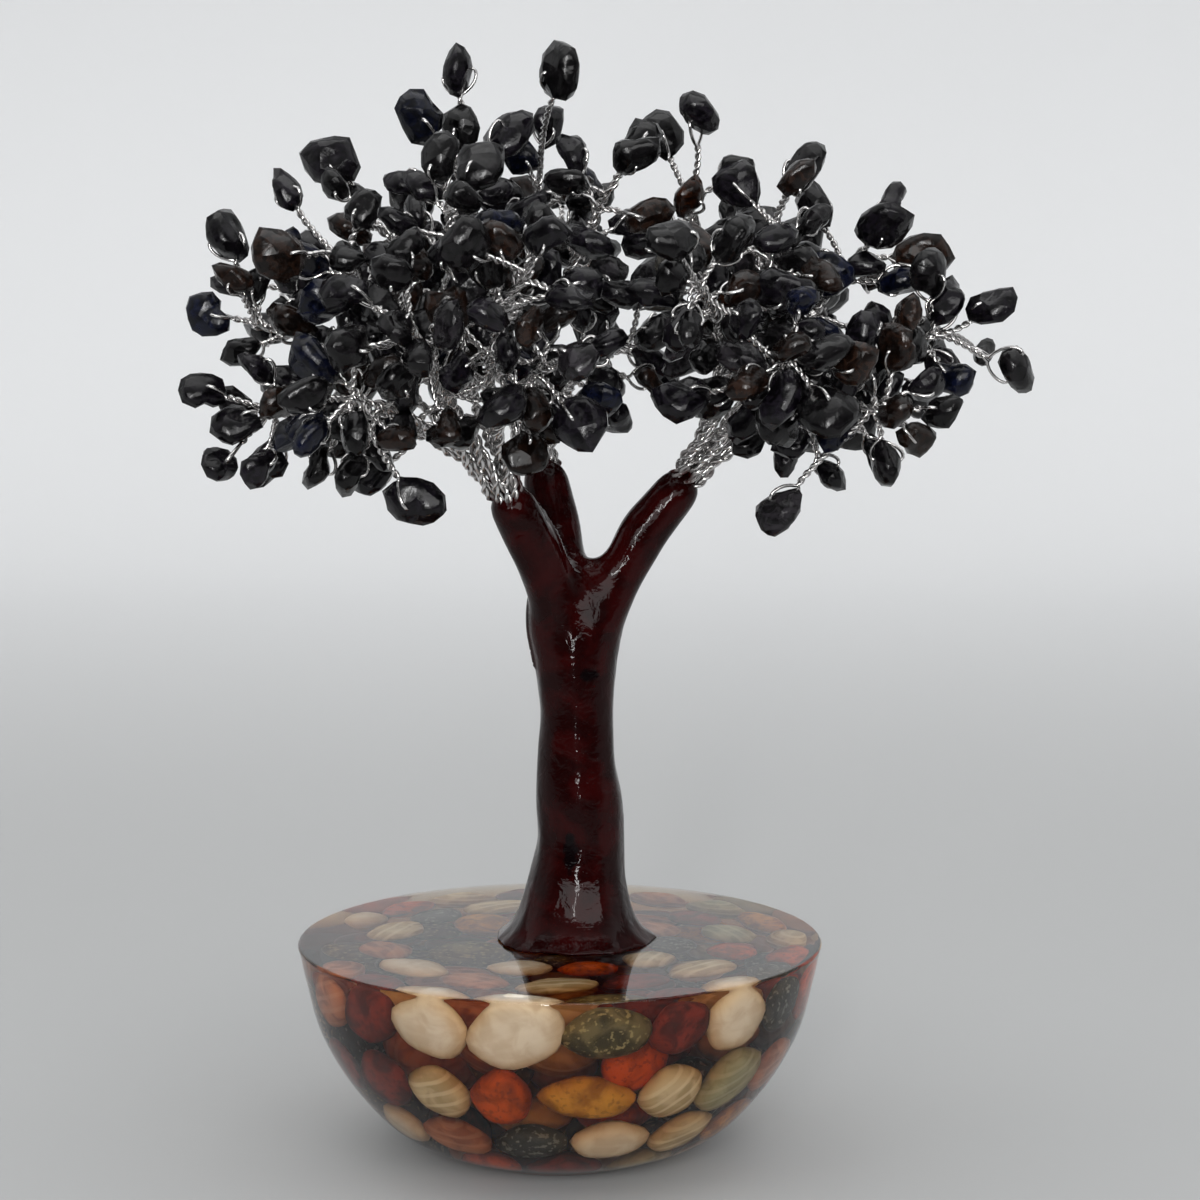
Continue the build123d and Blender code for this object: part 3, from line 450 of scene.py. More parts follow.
def matte_paper():
    """Seamless pale paper under and behind the piece, painted paler towards the back as painted light. What
    mirrors it finds it darker near the viewer: painted shade, seen by every ray but the camera's.
    """
    made, tree = new_material("seamless_paper")
    place = add_node(tree, "ShaderNodeTexCoord").outputs["Object"]
    away = add_node(tree, "ShaderNodeSeparateXYZ", {0: place}).outputs[1]
    seen = add_node(tree, "ShaderNodeLightPath").outputs["Is Camera Ray"]
    # Painted shade: for every ray but the camera's, the paper in front of the piece turns dark grey, so that
    # what mirrors it or takes light from it finds the viewer's side dim
    sockets = {0: away, 1: -0.4, 2: -0.12}
    share = add_node(tree, "ShaderNodeMapRange", sockets, interpolation_type="SMOOTHSTEP").outputs[0]
    sockets = {0: share, 6: linear("#3e3e40"), 7: linear("#b2b3b3")}
    painted_shade = add_node(tree, "ShaderNodeMix", sockets, data_type="RGBA").outputs[2]
    sockets = {0: seen, 6: painted_shade, 7: linear("#b2b3b3")}
    near = add_node(tree, "ShaderNodeMix", sockets, data_type="RGBA").outputs[2]
    # Painted light: the paper grows paler towards the back and up the sweep, standing in for the light
    # falling more brightly there
    sockets = {0: away, 1: 0.1, 2: 1.15}
    share = add_node(tree, "ShaderNodeMapRange", sockets, interpolation_type="SMOOTHSTEP").outputs[0]
    sockets = {0: share, 6: near, 7: linear("#f4f5f6")}
    colour = add_node(tree, "ShaderNodeMix", sockets, data_type="RGBA").outputs[2]
    finish_surface(tree, {"Base Color": colour, "Roughness": 0.9, "Specular IOR Level": 0.1})
    return made


IOLITE = tumbled_iolite()
WIRE = craft_wire()
LACQUER = trunk_lacquer()
RESIN = cast_resin()
PAPER = matte_paper()


# River pebbles, worn round from the CAD's faceted ones, with smaller ones in the spaces that are left
PEBBLE_GRID, PEBBLE_FACES = sphere_grid(14, 22)
PEBBLE_SOFTNESS = 5
PEBBLE_FULLNESS = 1.06
PEBBLE_LUMP = 0.05
SMALL_PEBBLES = 40
SMALL_PEBBLE_TRIES = 4000
# A small pebble's half length, width and height as shares of the room it has, and the least room it takes
SMALL_PEBBLE_SHARES = ((1.2, 1.6), (1.0, 1.3), (0.8, 1.0))
SMALL_PEBBLE_ROOM = 1.5 * MM
SMALL_PEBBLE_LUMP = 0.09
SMALL_PEBBLE_WAVE_SPAN = 1.3
# A small pebble lies nearly flat: its upright axis weighs more, and is thrown about less, than the level ones
LEVEL_WEIGHTS = (1, 1, 3)
LEVEL_THROW = (1, 1, 0.3)
# The small pebbles are real stones, but only of the darker kinds, so that the spaces between the big pebbles
# read dark: in part painted shade in those spaces
SMALL_PEBBLE_KINDS = ("red", "dark_grey", "speckled_green", "ochre", "salmon", "orange")
RESIN_COVER = 1.2 * MM
# The wire core in the resin: how far from its middle a pebble stays, and how deep it is rooted
CORE_ROOM = 5 * MM
CORE_ROOT = 13 * MM


def wall_radius(height):
    """Radius of the dome's wall at some heights."""
    return np.interp(height, DOME_WALL[:, 1], DOME_WALL[:, 0])


def small_pebble(place, room):
    """A lopsided egg lying nearly flat: an ellipsoid whose skin swells and sinks with two slow waves."""
    half = room * np.array([random.uniform(low, high) for low, high in SMALL_PEBBLE_SHARES])
    turn = np.linalg.qr(np.eye(3) * LEVEL_WEIGHTS + random.normal(0, 1, (3, 3)) * LEVEL_THROW)[0]
    waves = random.uniform(-SMALL_PEBBLE_WAVE_SPAN, SMALL_PEBBLE_WAVE_SPAN, (3, 2))
    phases = random.uniform(*WAVE_PHASES, 2)
    swell = 1 + SMALL_PEBBLE_LUMP * np.sin(PEBBLE_GRID @ waves + phases).sum(1)
    own = PEBBLE_GRID * half * swell[:, None]
    return place + own @ turn.T, own


pebbles = {}
for kind in PEBBLE_STONES:
    solids = separate_solids(kind + "_pebbles")
    pebbles[kind] = [Nugget(solid, PEBBLE_SOFTNESS, PEBBLE_FULLNESS, PEBBLE_LUMP) for solid in solids]
angle = random.uniform(0, 2 * np.pi, SMALL_PEBBLE_TRIES)
height = random.uniform(0, DOME_TOP, SMALL_PEBBLE_TRIES)
out = np.sqrt(random.uniform(0, 1, SMALL_PEBBLE_TRIES)) * wall_radius(height)
tries = np.stack((out * np.cos(angle), out * np.sin(angle), height), -1)
core_gap = np.hypot(tries[:, 0] - TRUNK_OFFSET, tries[:, 1]) - CORE_ROOM
core_gap = np.where(height > DOME_TOP - CORE_ROOT, core_gap, DOME_RADIUS)
# Each try's room is its smallest gap: to the wall, the top, the foot, the core and every pebble
gaps = [wall_radius(height) - out - RESIN_COVER, DOME_TOP - height - RESIN_COVER, height - RESIN_COVER]
gaps += [core_gap] + [stone.gap(tries) for stones in pebbles.values() for stone in stones]
room = np.min(gaps, axis=0)
small_pebbles = {kind: [] for kind in PEBBLE_STONES}
for _ in range(SMALL_PEBBLES):
    best = room.argmax()
    if room[best] < SMALL_PEBBLE_ROOM:
        break
    small_pebbles[str(random.choice(SMALL_PEBBLE_KINDS))].append(small_pebble(tries[best], room[best]))
    room = np.minimum(room, np.linalg.norm(tries - tries[best], axis=1) - room[best])
for kind, stone in PEBBLE_STONES.items():
    made = [one.surface(PEBBLE_GRID) for one in pebbles[kind]] + small_pebbles[kind]
    points, faces = stacked([(points, PEBBLE_FACES) for points, own in made])
    places = np.vstack([own / MM + random.uniform(-PATTERN_SHIFT, PATTERN_SHIFT, 3) for points, own in made])
    nodes = [kind + "_pebbles"]
    add_piece("pebbles_" + kind, points, faces, stone, kind + "_stone", nodes, stone_place=places)


# Wires and chips
WIRE_RADIUS = 0.27 * MM
WIRE_SIDES = 5
TWIST_PITCH = 2.6 * MM
# The two strands of a twig are wound round its middle just clear of each other
STRAND_OFFSET = WIRE_RADIUS * 1.05
TWIG_STEPS = 52
# A twig leaves along its bundle and comes in straight at its stone, for these shares of its length, and
# starts this many points of the bundle's curve back from the nearest one
LEAVING_SHARE = 0.3
COMING_SHARE = 0.35
TWIG_START_BACK = 4
# A loop leaves its twig ahead and out round the stone, and comes into the hole from outside and below, by
# these shares of its length and of the hole's half length
LOOP_STEPS = 8
LOOP_AHEAD = 0.15
LOOP_OUT = 0.8
LOOP_BELOW = 0.2
HOLE_APPROACH = WIRE_RADIUS * 3
# The hole is drilled this share of the way from the stone's centre to its twig
HOLE_BACK = 0.15
# Each bundle is twisted pairs wound round each other, and each pair ends at a share of the bundle's length
PAIR_ENDS = (0.85, 1.0)
PAIR_PITCH = 3.8 * MM
PAIR_UNEVENNESS = 0.3
STRAND_RADIUS = 0.31 * MM
BUNDLE_STEPS = 170
BUNDLE_PITCH = 10.0 * MM
BUNDLE_TWIST_RADII = (0.55 * MM, 0.42 * MM)
# The bundle wanders in waves of this height, that turn between so many radians a millimetre
BUNDLE_WANDER = 0.16 * MM
BUNDLE_SWING = (0.25, 0.45)
# Corners of one ring of a bundle in the CAD are nearer than this to each other
RING_ROOM = 1.8 * MM
# Lacquer on the wires thins out over this length and ends at this many times it, with ripples in radians a
# millimetre and a height in the same lengths
PAINTED_LENGTH = 2.6 * MM
PAINT_END = 1.9
PAINT_RIPPLES = 1.7
PAINT_RAGGEDNESS = 0.5
CHIP_SOFTNESS = (3.3, 6)
CHIP_FULLNESS = (1.03, 1.0, 0.82)
CHIP_LUMP = 0.22
CHIP_GRID, CHIP_FACES = sphere_grid(7, 12)
# Stones that fill the canopy up behind the ones in the CAD: how many a branch of each limb, how high they may
# hang, how far out and how far apart
SPARE_CHIPS = {"front_left": 3, "rear_left": 3, "right": 7}
SPARE_HEIGHTS = {
    "front_left": (112 * MM, 150 * MM),
    "rear_left": (112 * MM, 156 * MM),
    "right": (98 * MM, 138 * MM),
}
SPARE_START = 0.5
SPARE_REACH = (5.5 * MM, 10.0 * MM)
SPARE_SPACING = 6.2 * MM
SPARE_FROM_BUNDLE = 4.4 * MM
SPARE_TRIES = 400
# Only every so many points of the other bundles are kept clear of
STEM_STRIDE = 6
# The share of chips in each colour: violet black, warm black, blue, brown, amber, smoke and grey
CHIP_COLOURS = ("#141117", "#100e10", "#0c1022", "#241711", "#381c0e", "#2c292d", "#5c5954")
CHIP_SHARES = (0.39, 0.28, 0.06, 0.15, 0.02, 0.09, 0.01)
CHIP_BRIGHTNESS = (0.5, 1.3)


def twig_ends(corners):
    """The two ends of a straight bar, as the middles of its corners at either end."""
    centre, axes = own_axes(corners)
    along = (corners - centre) @ axes[0]
    return corners[along < 0].mean(0), corners[along > 0].mean(0)


def bundle_line(corners):
    """The line along a bent bar: the middle of each of its rings of corners, in order from the trunk."""
    apart = np.linalg.norm(corners[:, None] - corners[None], axis=2)
    near = np.argwhere(apart < RING_ROOM)
    labels = joined_labels(len(corners), near)
    middles = np.array([corners[labels == label].mean(0) for label in np.unique(labels)])
    return middles[np.argsort(np.linalg.norm(middles - FORK, axis=1))]


def wound(paths, turns, radius, phase):
    """A strand wound round each path: so many turns, at a radius, from a phase at the path's end."""
    across, upward = carried_frames(paths)
    angle = phase[:, None] + 2 * np.pi * turns
    sideways = np.cos(angle)[..., None] * across + np.sin(angle)[..., None] * upward
    return paths + radius * sideways


def travelled(paths):
    """Distance along each path at each of its points."""
    steps = np.linalg.norm(np.diff(paths, axis=1), axis=2)
    return np.concatenate((np.zeros((len(paths), 1)), np.cumsum(steps, axis=1)), axis=1)


def looped_wires(bases, leans, rims, holes):
    """Each stone's wire: twisted with itself from the bundle to the stone, then looped through its hole."""
    centres, sides, left_mouths, right_mouths, middles = (np.array(part) for part in zip(*holes))
    headings = unit(centres - rims)
    lengths = np.linalg.norm(rims - bases, axis=1)[:, None]
    first = bases + leans * lengths * LEAVING_SHARE
    last = rims - headings * lengths * COMING_SHARE
    middle = bezier(bases, first, last, rims, TWIG_STEPS)
    across, upward = carried_frames(middle)
    end_angle = np.arctan2((sides * upward[:, -1]).sum(1), (sides * across[:, -1]).sum(1))
    run = travelled(middle)
    turns = (run - run[:, -1:]) / TWIST_PITCH
    strands = [wound(middle, turns, STRAND_OFFSET, end_angle + turn) for turn in (0, np.pi)]
    loops = []
    for strand, out, mouths in zip(strands, (sides, -sides), (left_mouths, right_mouths)):
        ends = strand[:, -1]
        depth = np.linalg.norm(mouths - middles, axis=1)[:, None]
        gone = np.linalg.norm(mouths - ends, axis=1)[:, None]
        first = ends + headings * gone * LOOP_AHEAD + out * depth * LOOP_OUT
        last = mouths + out * HOLE_APPROACH - headings * gone * LOOP_BELOW
        loops.append(bezier(ends, first, last, mouths, LOOP_STEPS)[:, 1:])
    paths = [strands[0], loops[0], loops[1][:, ::-1], strands[1][:, ::-1]]
    return np.concatenate(paths, axis=1)


def drilled_hole(stone, rim):
    """Where a stone is threaded: its centre, the way the hole runs, the hole's two mouths and its middle."""
    heading = unit(stone.centre - rim)
    way = unit(stone.axes[2] - (stone.axes[2] @ heading) * heading)
    middle = stone.centre - (stone.centre - rim) * HOLE_BACK
    mouths = [middle + side * stone.depth(middle, side) for side in (way, -way)]
    return stone.centre, way, *mouths, middle


def twisted_bundle(curve):
    """A branch's bundle: wires twisted in pairs, and the pairs wound round each other, wandering a little."""
    parts = []
    for pair, end in enumerate(PAIR_ENDS):
        middle = smooth_curve(curve[: int(BUNDLE_STEPS * end)], BUNDLE_STEPS)[None]
        run = travelled(middle)
        taper = np.linspace(*BUNDLE_TWIST_RADII, BUNDLE_STEPS)[None, :, None]
        uneven = random.uniform(-PAIR_UNEVENNESS, PAIR_UNEVENNESS)
        around = np.array([2 * np.pi * pair / len(PAIR_ENDS) + uneven])
        laid = wound(middle, run / BUNDLE_PITCH, taper, around)
        swing = random.uniform(*BUNDLE_SWING, 3) / MM
        phases = random.uniform(*WAVE_PHASES, 3)
        laid = laid + BUNDLE_WANDER * np.sin(run[..., None] * swing + phases)
        for strand in (0, np.pi):
            paired = wound(laid, run / PAIR_PITCH, STRAND_RADIUS, np.array([strand]))
            parts.append(tubes(paired, STRAND_RADIUS, WIRE_SIDES))
    return parts


# The fork between the limbs, at a share of the trunk's height. Bundles are put in order outwards from it
FORK_SHARE = 0.72
trunk_low, trunk_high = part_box("trunk_coating")
FORK = np.array((trunk_low.x + trunk_high.x, trunk_low.y + trunk_high.y, 0)) / 2
FORK[2] = trunk_low.z + FORK_SHARE * (trunk_high.z - trunk_low.z)


class Branch:
    """What the CAD has of one branch: its bundle's curve, its stones, and the foot and rim of each twig."""

    def __init__(self, limb, number):
        self.limb = limb
        self.number = number
        self.nodes = f"{limb}_wires_{number}", f"{limb}_chips_{number}"
        bars = separate_solids(self.nodes[0])
        stem = max(bars, key=lambda bar: len(bar[0]))
        self.line = bundle_line(stem[0])
        self.curve = smooth_curve(self.line, BUNDLE_STEPS)
        solids = separate_solids(self.nodes[1])
        softness = random.uniform(*CHIP_SOFTNESS, len(solids))
        self.stones = [Nugget(solid, soft, CHIP_FULLNESS, CHIP_LUMP) for solid, soft in zip(solids, softness)]
        centres = self.centres()
        self.twigs = []
        for bar in bars:
            if bar is stem:
                continue
            ends = twig_ends(bar[0])
            gaps = [np.linalg.norm(centres - end, axis=1) for end in ends]
            outer = int(gaps[1].min() < gaps[0].min())
            stone = self.stones[int(gaps[outer].argmin())]
            self.twigs.append((self.nearest(ends[1 - outer]), ends[outer], stone))

    def centres(self):
        """Centres of the stones."""
        return np.array([stone.centre for stone in self.stones])

    def nearest(self, place):
        """Number of the point of the bundle that is nearest to a place, a little back along it."""
        return max(int(np.linalg.norm(self.curve - place, axis=1).argmin()) - TWIG_START_BACK, 0)

    def hang_spare_stone(self, taken, stems, box):
        """One more stone where the canopy has room for it: one of the branch's own, turned at random."""
        feet = random.integers(int(SPARE_START * BUNDLE_STEPS), BUNDLE_STEPS, SPARE_TRIES)
        reach = random.uniform(*SPARE_REACH, SPARE_TRIES)[:, None]
        places = self.curve[feet] + unit(random.normal(0, 1, (SPARE_TRIES, 3))) * reach
        room = np.linalg.norm(places[:, None] - taken[None], axis=2).min(1)
        clear = np.linalg.norm(places[:, None] - stems[None], axis=2).min(1) > SPARE_FROM_BUNDLE
        lowest, highest = SPARE_HEIGHTS[self.limb]
        level = (places[:, 2] > lowest) & (places[:, 2] < highest)
        inside = ((places > box[0]) & (places < box[1])).all(1)
        fits = np.flatnonzero((room > SPARE_SPACING) & clear & inside & level)
        if not len(fits):
            return
        chosen = fits[reach[fits, 0].argmin()]
        stone = copy.copy(self.stones[random.integers(len(self.stones))])
        stone.centre = places[chosen]
        heading = unit(stone.centre - self.curve[feet[chosen]])
        side = unit(np.cross(heading, random.normal(0, 1, 3)))
        stone.axes = np.stack((heading, side, np.cross(heading, side)))
        rim = stone.centre - heading * stone.half[0]
        self.twigs.append((self.nearest(self.curve[feet[chosen]]), rim, stone))
        self.stones.append(stone)

    def add_wires(self):
        """The wires of the branch: its bundle, and one wire for each stone, as one piece."""
        feet = np.array([foot for foot, rim, stone in self.twigs])
        ahead = unit(np.gradient(self.curve, axis=0))
        rims = np.array([rim for foot, rim, stone in self.twigs])
        holes = [drilled_hole(stone, rim) for foot, rim, stone in self.twigs]
        paths = looped_wires(self.curve[feet], ahead[feet], rims, holes)
        points, faces = stacked([tubes(paths, WIRE_RADIUS, WIRE_SIDES)] + twisted_bundle(self.curve))
        away = np.linalg.norm(points - self.line[0], axis=1) / PAINTED_LENGTH
        ragged = PAINT_RAGGEDNESS * np.sin(points / MM * PAINT_RIPPLES).sum(1)
        paint = np.clip(PAINT_END - away + ragged, 0, 1)
        name = f"wires_{self.limb}_{self.number}"
        add_piece(name, points, faces, WIRE, "wire", self.nodes[:1], paint=paint)

    def add_chips(self):
        """The stones of the branch as one piece, each with its own colour and its own part of the pattern."""
        shapes, places, colours = [], [], []
        for stone in self.stones:
            points, own = stone.surface(CHIP_GRID)
            shapes.append((points, CHIP_FACES))
            places.append(own / MM + random.uniform(-PATTERN_SHIFT, PATTERN_SHIFT, 3))
            colour = np.array(linear(str(random.choice(CHIP_COLOURS, p=CHIP_SHARES)))[:3])
            colours.append(np.tile(colour * random.uniform(*CHIP_BRIGHTNESS), (len(points), 1)))
        points, faces = stacked(shapes)
        add_piece(
            f"chips_{self.limb}_{self.number}",
            points,
            faces,
            IOLITE,
            "chip_stone",
            self.nodes[1:],
            stone_place=np.vstack(places),
            stone_colour=np.vstack(colours),
        )


branches = [Branch(limb, number) for limb in LIMBS for number in BRANCHES]
stems = np.vstack([branch.curve[::STEM_STRIDE] for branch in branches])
canopy = np.vstack([branch.centres() for branch in branches])
canopy_box = canopy.min(0), canopy.max(0)
for turn in range(max(SPARE_CHIPS.values())):
    for branch in branches:
        if turn < SPARE_CHIPS[branch.limb]:
            taken = np.vstack([other.centres() for other in branches])
            branch.hang_spare_stone(taken, stems, canopy_box)
for branch in branches:
    branch.add_wires()
    branch.add_chips()


# Trunk: the coating and core as one skin, with a plug of paste in each mouth, relaxed as wet paste would be
TRUNK_SEED = 11
SKIN_VOXEL = 0.4 * MM
PLUG_GRID, PLUG_FACES = sphere_grid(8, 12)
# Half length and half width of a mouth's plug, and of the web of paste in the crotch of the fork
PLUG_SIZE = (3.8 * MM, 3.5 * MM)
CROTCH = np.array((5.2, -0.8, 88.2)) * MM
WEB_SIZE = (3.4 * MM, 4.2 * MM)
CROTCH_REACH = 8 * MM
SMOOTH_ROUNDS = 150
CROTCH_ROUNDS = 260
EVEN_SHARE = 0.3
SWELL = 0.25 * MM
MOUTH_SWELL = 0.55 * MM
CROTCH_SWELL = -0.4 * MM
# Lumps are a mean of waves: their lengths in millimetres round and up the trunk, then the lumps' height
LUMPS = ((13.0, 26.0, 0.34 * MM), (4.4, 9.0, 0.1 * MM))
LUMP_WAVES = 9
LUMP_SPREAD = 0.6
# A mean of several waves is lower than one of them, and this makes up for it
LUMP_GAIN = 2
# Runs of lacquer that stand up from the skin: places along each, then its half width and height
RUNS = (
    (((-5.2, -1.0, 86.5), (-4.8, -1.0, 80.7), (-3.7, -1.0, 75.5)), 0.45, 0.35),
    (((-5.6, -6.2, 104.2), (-2.4, -5.8, 98.4), (2.7, -4.5, 89.6)), 0.5, 0.5),
)
RUN_STEPS = 30
# How far the foot runs out, and over what height, from just under the resin's top
FOOT_SPREAD = (1.9 * MM, 1.3 * MM)
FOOT_DEPTH = 0.2 * MM
# Its toes are waves round the trunk, swollen and flattened by slower ones
FOOT_TOES = 7
TOE_GROUPS = 3
TOE_LENGTH = 0.22
# Black drips on the front: how far across and up, and how wide and tall
SPOTS = ((4.6, 74.6, 1.3, 1.4), (1.6, 47.6, 1.3, 2.8))
# Their edge: how ragged and sharp it is, as a share of their size, and its ripples in radians a millimetre
SPOT_RAGGEDNESS = 0.12
SPOT_SHARPNESS = 5
SPOT_RIPPLES = 3.1


def ellipsoid(centre, axis, half_length, half_width):
    """A closed ellipsoid: a sphere stretched along an axis and across it."""
    least = np.eye(3)[np.abs(axis).argmin()]
    across = unit(np.cross(axis, least))
    turned = np.stack((across * half_width, np.cross(axis, across) * half_width, axis * half_length))
    return centre + PLUG_GRID @ turned, PLUG_FACES


def wrapped(parts):
    """One closed skin round several overlapping meshes: its points, its edges and its faces."""
    points, faces = stacked(parts)
    draft = bpy.data.meshes.new("trunk_draft")
    draft.from_pydata(points.tolist(), [], faces)
    holder = bpy.data.objects.new("trunk_draft", draft)
    bpy.context.scene.collection.objects.link(holder)
    remesh = holder.modifiers.new("skin", "REMESH")
    remesh.mode = "VOXEL"
    remesh.voxel_size = SKIN_VOXEL
    skin = bpy.data.meshes.new_from_object(holder.evaluated_get(bpy.context.evaluated_depsgraph_get()))
    bpy.data.objects.remove(holder)
    points = np.zeros(len(skin.vertices) * 3, np.float32)
    skin.vertices.foreach_get("co", points)
    edges = np.zeros(len(skin.edges) * 2, np.int32)
    skin.edges.foreach_get("vertices", edges)
    faces = [list(face.vertices) for face in skin.polygons]
    return points.reshape(-1, 3).astype(float), edges.reshape(-1, 2), faces


def relaxed(points, edges, amount, rounds):
    """Points drawn towards the middle of their neighbours again and again, by an amount at each point."""
    count = len(points)
    start, end = edges.T
    shared = np.bincount(edges.ravel(), minlength=count)[:, None]
    for _ in range(rounds):
        ahead = [np.bincount(start, points[end, side], count) for side in range(3)]
        behind = [np.bincount(end, points[start, side], count) for side in range(3)]
        middle = (np.stack(ahead, 1) + np.stack(behind, 1)) / shared
        points = points + (amount / 2)[:, None] * (middle - points)
    return points


def outward(points, faces):
    """Outward direction at each point of a skin of four-sided faces: the sum of the crossed diagonals of the
    faces round it."""
    corners = points[np.array(faces)]
    square = np.cross(corners[:, 2] - corners[:, 0], corners[:, 3] - corners[:, 1])
    owners = np.array(faces).ravel()
    total = [np.bincount(owners, np.repeat(square[:, side], 4), len(points)) for side in range(3)]
    return unit(np.stack(total, 1))


trunk_random = np.random.default_rng(TRUNK_SEED)
skin_parts = []
for node in ("trunk_coating", "wire_core"):
    corners, triangles = corners_and_triangles(node)
    skin_parts.append((corners, triangles.tolist()))
mouths = []
for limb in LIMBS:
    lines = [branch.line for branch in branches if branch.limb == limb]
    mouth = np.mean([line[0] for line in lines], axis=0)
    axis = unit(np.mean([line[1] for line in lines], axis=0) - mouth)
    mouths.append(mouth)
    skin_parts.append(ellipsoid(mouth, axis, *PLUG_SIZE))
skin_parts.append(ellipsoid(CROTCH, np.array((0, 0, 1)), *WEB_SIZE))
points, edges, faces = wrapped(skin_parts)
soft_places = np.array([CROTCH] + mouths)
near = np.exp(-((np.linalg.norm(points[:, None] - soft_places[None], axis=2) / CROTCH_REACH) ** 2))
points = relaxed(points, edges, EVEN_SHARE + (1 - EVEN_SHARE) * near.max(1), SMOOTH_ROUNDS)
points = relaxed(points, edges, near[:, 0] ** 2, CROTCH_ROUNDS)
normals = outward(points, faces)
rise = SWELL + CROTCH_SWELL * near[:, 0] + MOUTH_SWELL * near[:, 1:].max(1)
for around, up, height in LUMPS:
    ways = trunk_random.normal(0, LUMP_SPREAD, (LUMP_WAVES, 3))
    waves = 2 * np.pi * ways / np.array((around, around, up)) / MM
    phases = trunk_random.uniform(*WAVE_PHASES, LUMP_WAVES)
    rise = rise + height * np.sin(points @ waves.T + phases).mean(1) * LUMP_GAIN
for places, half_width, height in RUNS:
    run = smooth_curve(np.array(places) * MM, RUN_STEPS)
    snapped = points[np.linalg.norm(points[:, None] - run[None], axis=2).argmin(0)]
    distance = np.linalg.norm(points[:, None] - snapped[None], axis=2).min(1)
    rise = rise + height * MM * np.exp(-((distance / (half_width * MM)) ** 2))
points = points + normals * rise[:, None]
# The foot runs out over the resin in uneven toes
above = np.maximum(points[:, 2] - DOME_TOP, 0) / FOOT_SPREAD[1]
turn = np.arctan2(points[:, 1], points[:, 0] - TRUNK_OFFSET)
toes = 1 + TOE_LENGTH * np.sin(FOOT_TOES * turn + 1) * np.sin(TOE_GROUPS * turn)
spread = FOOT_SPREAD[0] * np.exp(-above) * toes * (points[:, 2] > DOME_TOP - FOOT_DEPTH)
points[:, 0] += spread * np.cos(turn)
points[:, 1] += spread * np.sin(turn)
spots = np.zeros(len(points))
for across, up, half_width, half_height in SPOTS:
    away = np.hypot((points[:, 0] / MM - across) / half_width, (points[:, 2] / MM - up) / half_height)
    away = away + SPOT_RAGGEDNESS * np.sin(points / MM * SPOT_RIPPLES).sum(1)
    spots = np.maximum(spots, np.clip((1 - away) * SPOT_SHARPNESS, 0, 1) * (points[:, 1] < 0))
add_piece("trunk_lacquered", points, faces, LACQUER, "enamel", ["trunk_coating", "wire_core"], spots=spots)


# Resin dome: its wall's profile turned about the Z axis
DOME_COLUMNS = 144
RIM_ROUND = 0.35 * MM
# Points of the profile along the foot, the wall, the rim and the top
FOOT_POINTS = 8
WALL_POINTS = 60
RIM_POINTS = 6
TOP_POINTS = 20
# The foot's face stops short of the wall and the top's short of the rim, and one flat face closes each middle
FOOT_SHARE = 0.97
TOP_INSET = 1.5 * RIM_ROUND
MIDDLE_RADIUS = 0.5 * MM


def in_profile(radius, height):
    """Points of a profile in the XZ plane."""
    radius, height = np.broadcast_arrays(radius, height)
    return np.stack((radius, np.zeros(len(radius)), height), -1)


wall = smooth_curve(in_profile(*DOME_WALL.T), WALL_POINTS)[:-1]
turn = np.linspace(0, np.pi / 2, RIM_POINTS)
rim = in_profile(DOME_RADIUS - RIM_ROUND * (1 - np.cos(turn)), DOME_TOP - RIM_ROUND * (1 - np.sin(turn)))
top = in_profile(np.linspace(DOME_RADIUS - TOP_INSET, MIDDLE_RADIUS, TOP_POINTS), DOME_TOP)
foot = in_profile(np.linspace(MIDDLE_RADIUS, DOME_WALL[0, 0] * FOOT_SHARE, FOOT_POINTS), 0.0)
profile = np.vstack((foot, wall, rim, top))
around = 2 * np.pi * np.arange(DOME_COLUMNS) / DOME_COLUMNS
turned = np.stack((np.cos(around), np.sin(around), np.ones(DOME_COLUMNS)), -1)
rings = profile[:, None][..., [0, 0, 2]] * turned
number = np.arange(len(profile) * DOME_COLUMNS).reshape(len(profile), DOME_COLUMNS)
faces = ring_faces(number).tolist() + [number[0, ::-1].tolist(), number[-1].tolist()]
add_piece("resin_dome_cast", rings.reshape(-1, 3), faces, RESIN, "resin", ["resin_dome"])


# Stage: seamless paper, soft lamps and the camera where the photograph was taken from
PAPER_REACH = 3.0
PAPER_HEIGHT = 2.0
SWEEP_START = 0.7
SWEEP_RADIUS = 0.3
SWEEP_POINTS = 16
turn = np.linspace(0, np.pi / 2, SWEEP_POINTS)
rise = SWEEP_RADIUS - SWEEP_RADIUS * np.cos(turn)
curve = np.stack((SWEEP_START + SWEEP_RADIUS * np.sin(turn), rise), -1)
sweep = np.vstack(([(-PAPER_REACH, 0)], curve, [(SWEEP_START + SWEEP_RADIUS, PAPER_HEIGHT)]))
across = np.array((-PAPER_REACH, PAPER_REACH))
grid = np.broadcast_arrays(across[None, :], sweep[:, None, 0], sweep[:, None, 1])
points = np.stack(grid, -1).reshape(-1, 3)
number = np.arange(len(points)).reshape(-1, 2)
faces = np.stack((number[:-1, 0], number[:-1, 1], number[1:, 1], number[1:, 0]), -1).tolist()
paper_mesh = bpy.data.meshes.new("paper")
paper_mesh.from_pydata(points.tolist(), [], faces)
paper_mesh.polygons.foreach_set("use_smooth", np.ones(len(faces), bool))
paper_mesh.materials.append(PAPER)
paper = bpy.data.objects.new("paper", paper_mesh)
bpy.context.scene.collection.objects.link(paper)


def softbox(name, place, target, width, height, power):
    """A rectangular lamp that faces a target."""
    lamp = bpy.data.lights.new(name, "AREA")
    lamp.shape = "RECTANGLE"
    lamp.size = width
    lamp.size_y = height
    lamp.energy = power
    made = bpy.data.objects.new(name, lamp)
    made.location = place
    away = np.array(place) - np.array(target)
    turn_z = math.atan2(away[0], -away[1])
    tilt = math.acos(away[2] / np.linalg.norm(away))
    made.rotation_euler = (tilt, 0, turn_z)
    bpy.context.scene.collection.objects.link(made)


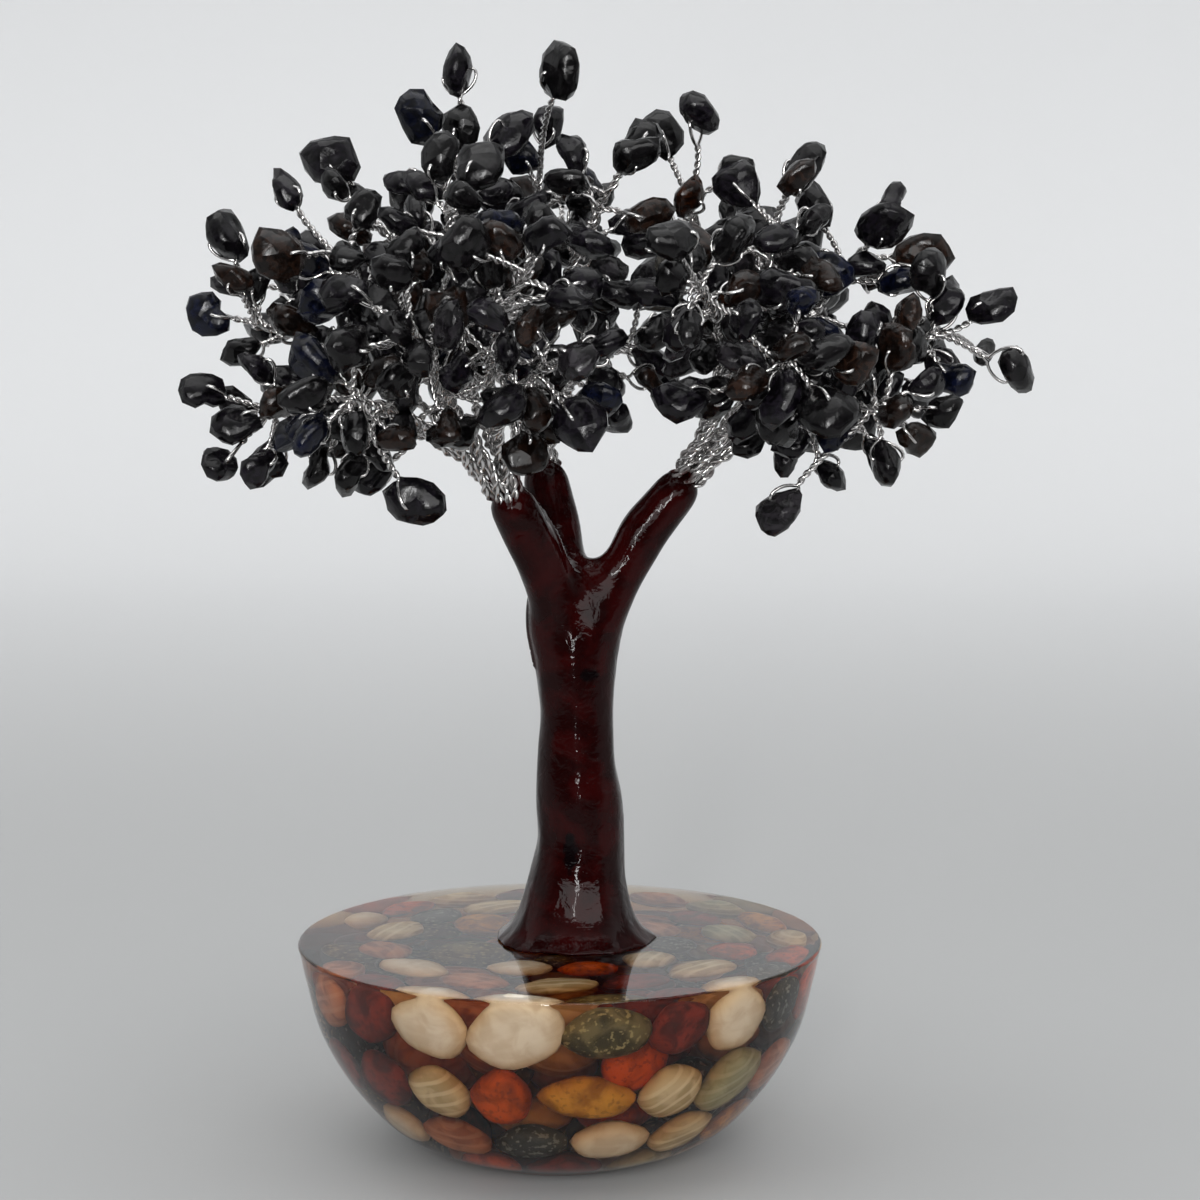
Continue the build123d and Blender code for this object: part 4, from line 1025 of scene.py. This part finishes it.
TARGET = (0, 0, 0.09)
softbox("window", (0.12, -0.92, 0.36), TARGET, 1.3, 0.4, 6.2)
softbox("window_gap", (-0.09, -0.88, 0.22), TARGET, 0.05, 0.4, 2.8)
softbox("ceiling", (0.0, 0.0, 1.2), TARGET, 1.4, 1.2, 4.6)
softbox("backdrop_lamp", (0.0, 0.35, 0.8), (0.0, 1.0, 0.3), 1.2, 0.2, 0.6)

world = bpy.data.worlds.new("pale_room")
bpy.context.scene.world = world
world.use_nodes = True
tree = world.node_tree
tree.nodes.clear()
# The room is pale behind and above the piece, dim on the viewer's side, and plain grey where it is seen
direction = add_node(tree, "ShaderNodeTexCoord").outputs["Generated"]
parts = add_node(tree, "ShaderNodeSeparateXYZ", {0: direction}).outputs
upward = add_node(tree, "ShaderNodeMath", {0: parts[1], 1: parts[2]}, operation="ADD").outputs[0]
sockets = {0: upward, 1: -0.9, 2: 0.9}
pale = add_node(tree, "ShaderNodeMapRange", sockets, interpolation_type="SMOOTHSTEP").outputs[0]
sockets = {0: pale, 6: linear("#2e2d2d"), 7: linear("#f2f3f4")}
colour = add_node(tree, "ShaderNodeMix", sockets, data_type="RGBA").outputs[2]
room = add_node(tree, "ShaderNodeBackground", {"Color": colour, "Strength": 1.05}).outputs[0]
wall = add_node(tree, "ShaderNodeBackground", {"Color": linear("#c9cbcc"), "Strength": 1.0}).outputs[0]
seen = add_node(tree, "ShaderNodeLightPath").outputs["Is Camera Ray"]
either = add_node(tree, "ShaderNodeMixShader", {0: seen, 1: room, 2: wall}).outputs[0]
add_node(tree, "ShaderNodeOutputWorld", {"Surface": either})

CAMERA_PLACE = (6.13 * MM, -480 * MM, 145.8 * MM)
CAMERA_DIP = math.radians(7.2)
# Both in millimetres, as on a lens
SENSOR_WIDTH = 36
FOCAL_LENGTH = 96
camera_data = bpy.data.cameras.new("camera")
camera_data.sensor_width = SENSOR_WIDTH
camera_data.lens = FOCAL_LENGTH
camera = bpy.data.objects.new("camera", camera_data)
camera.location = CAMERA_PLACE
camera.rotation_euler = (math.pi / 2 - CAMERA_DIP, 0, 0)
bpy.context.scene.collection.objects.link(camera)
bpy.context.scene.camera = camera
bpy.context.scene.view_settings.view_transform = "Standard"
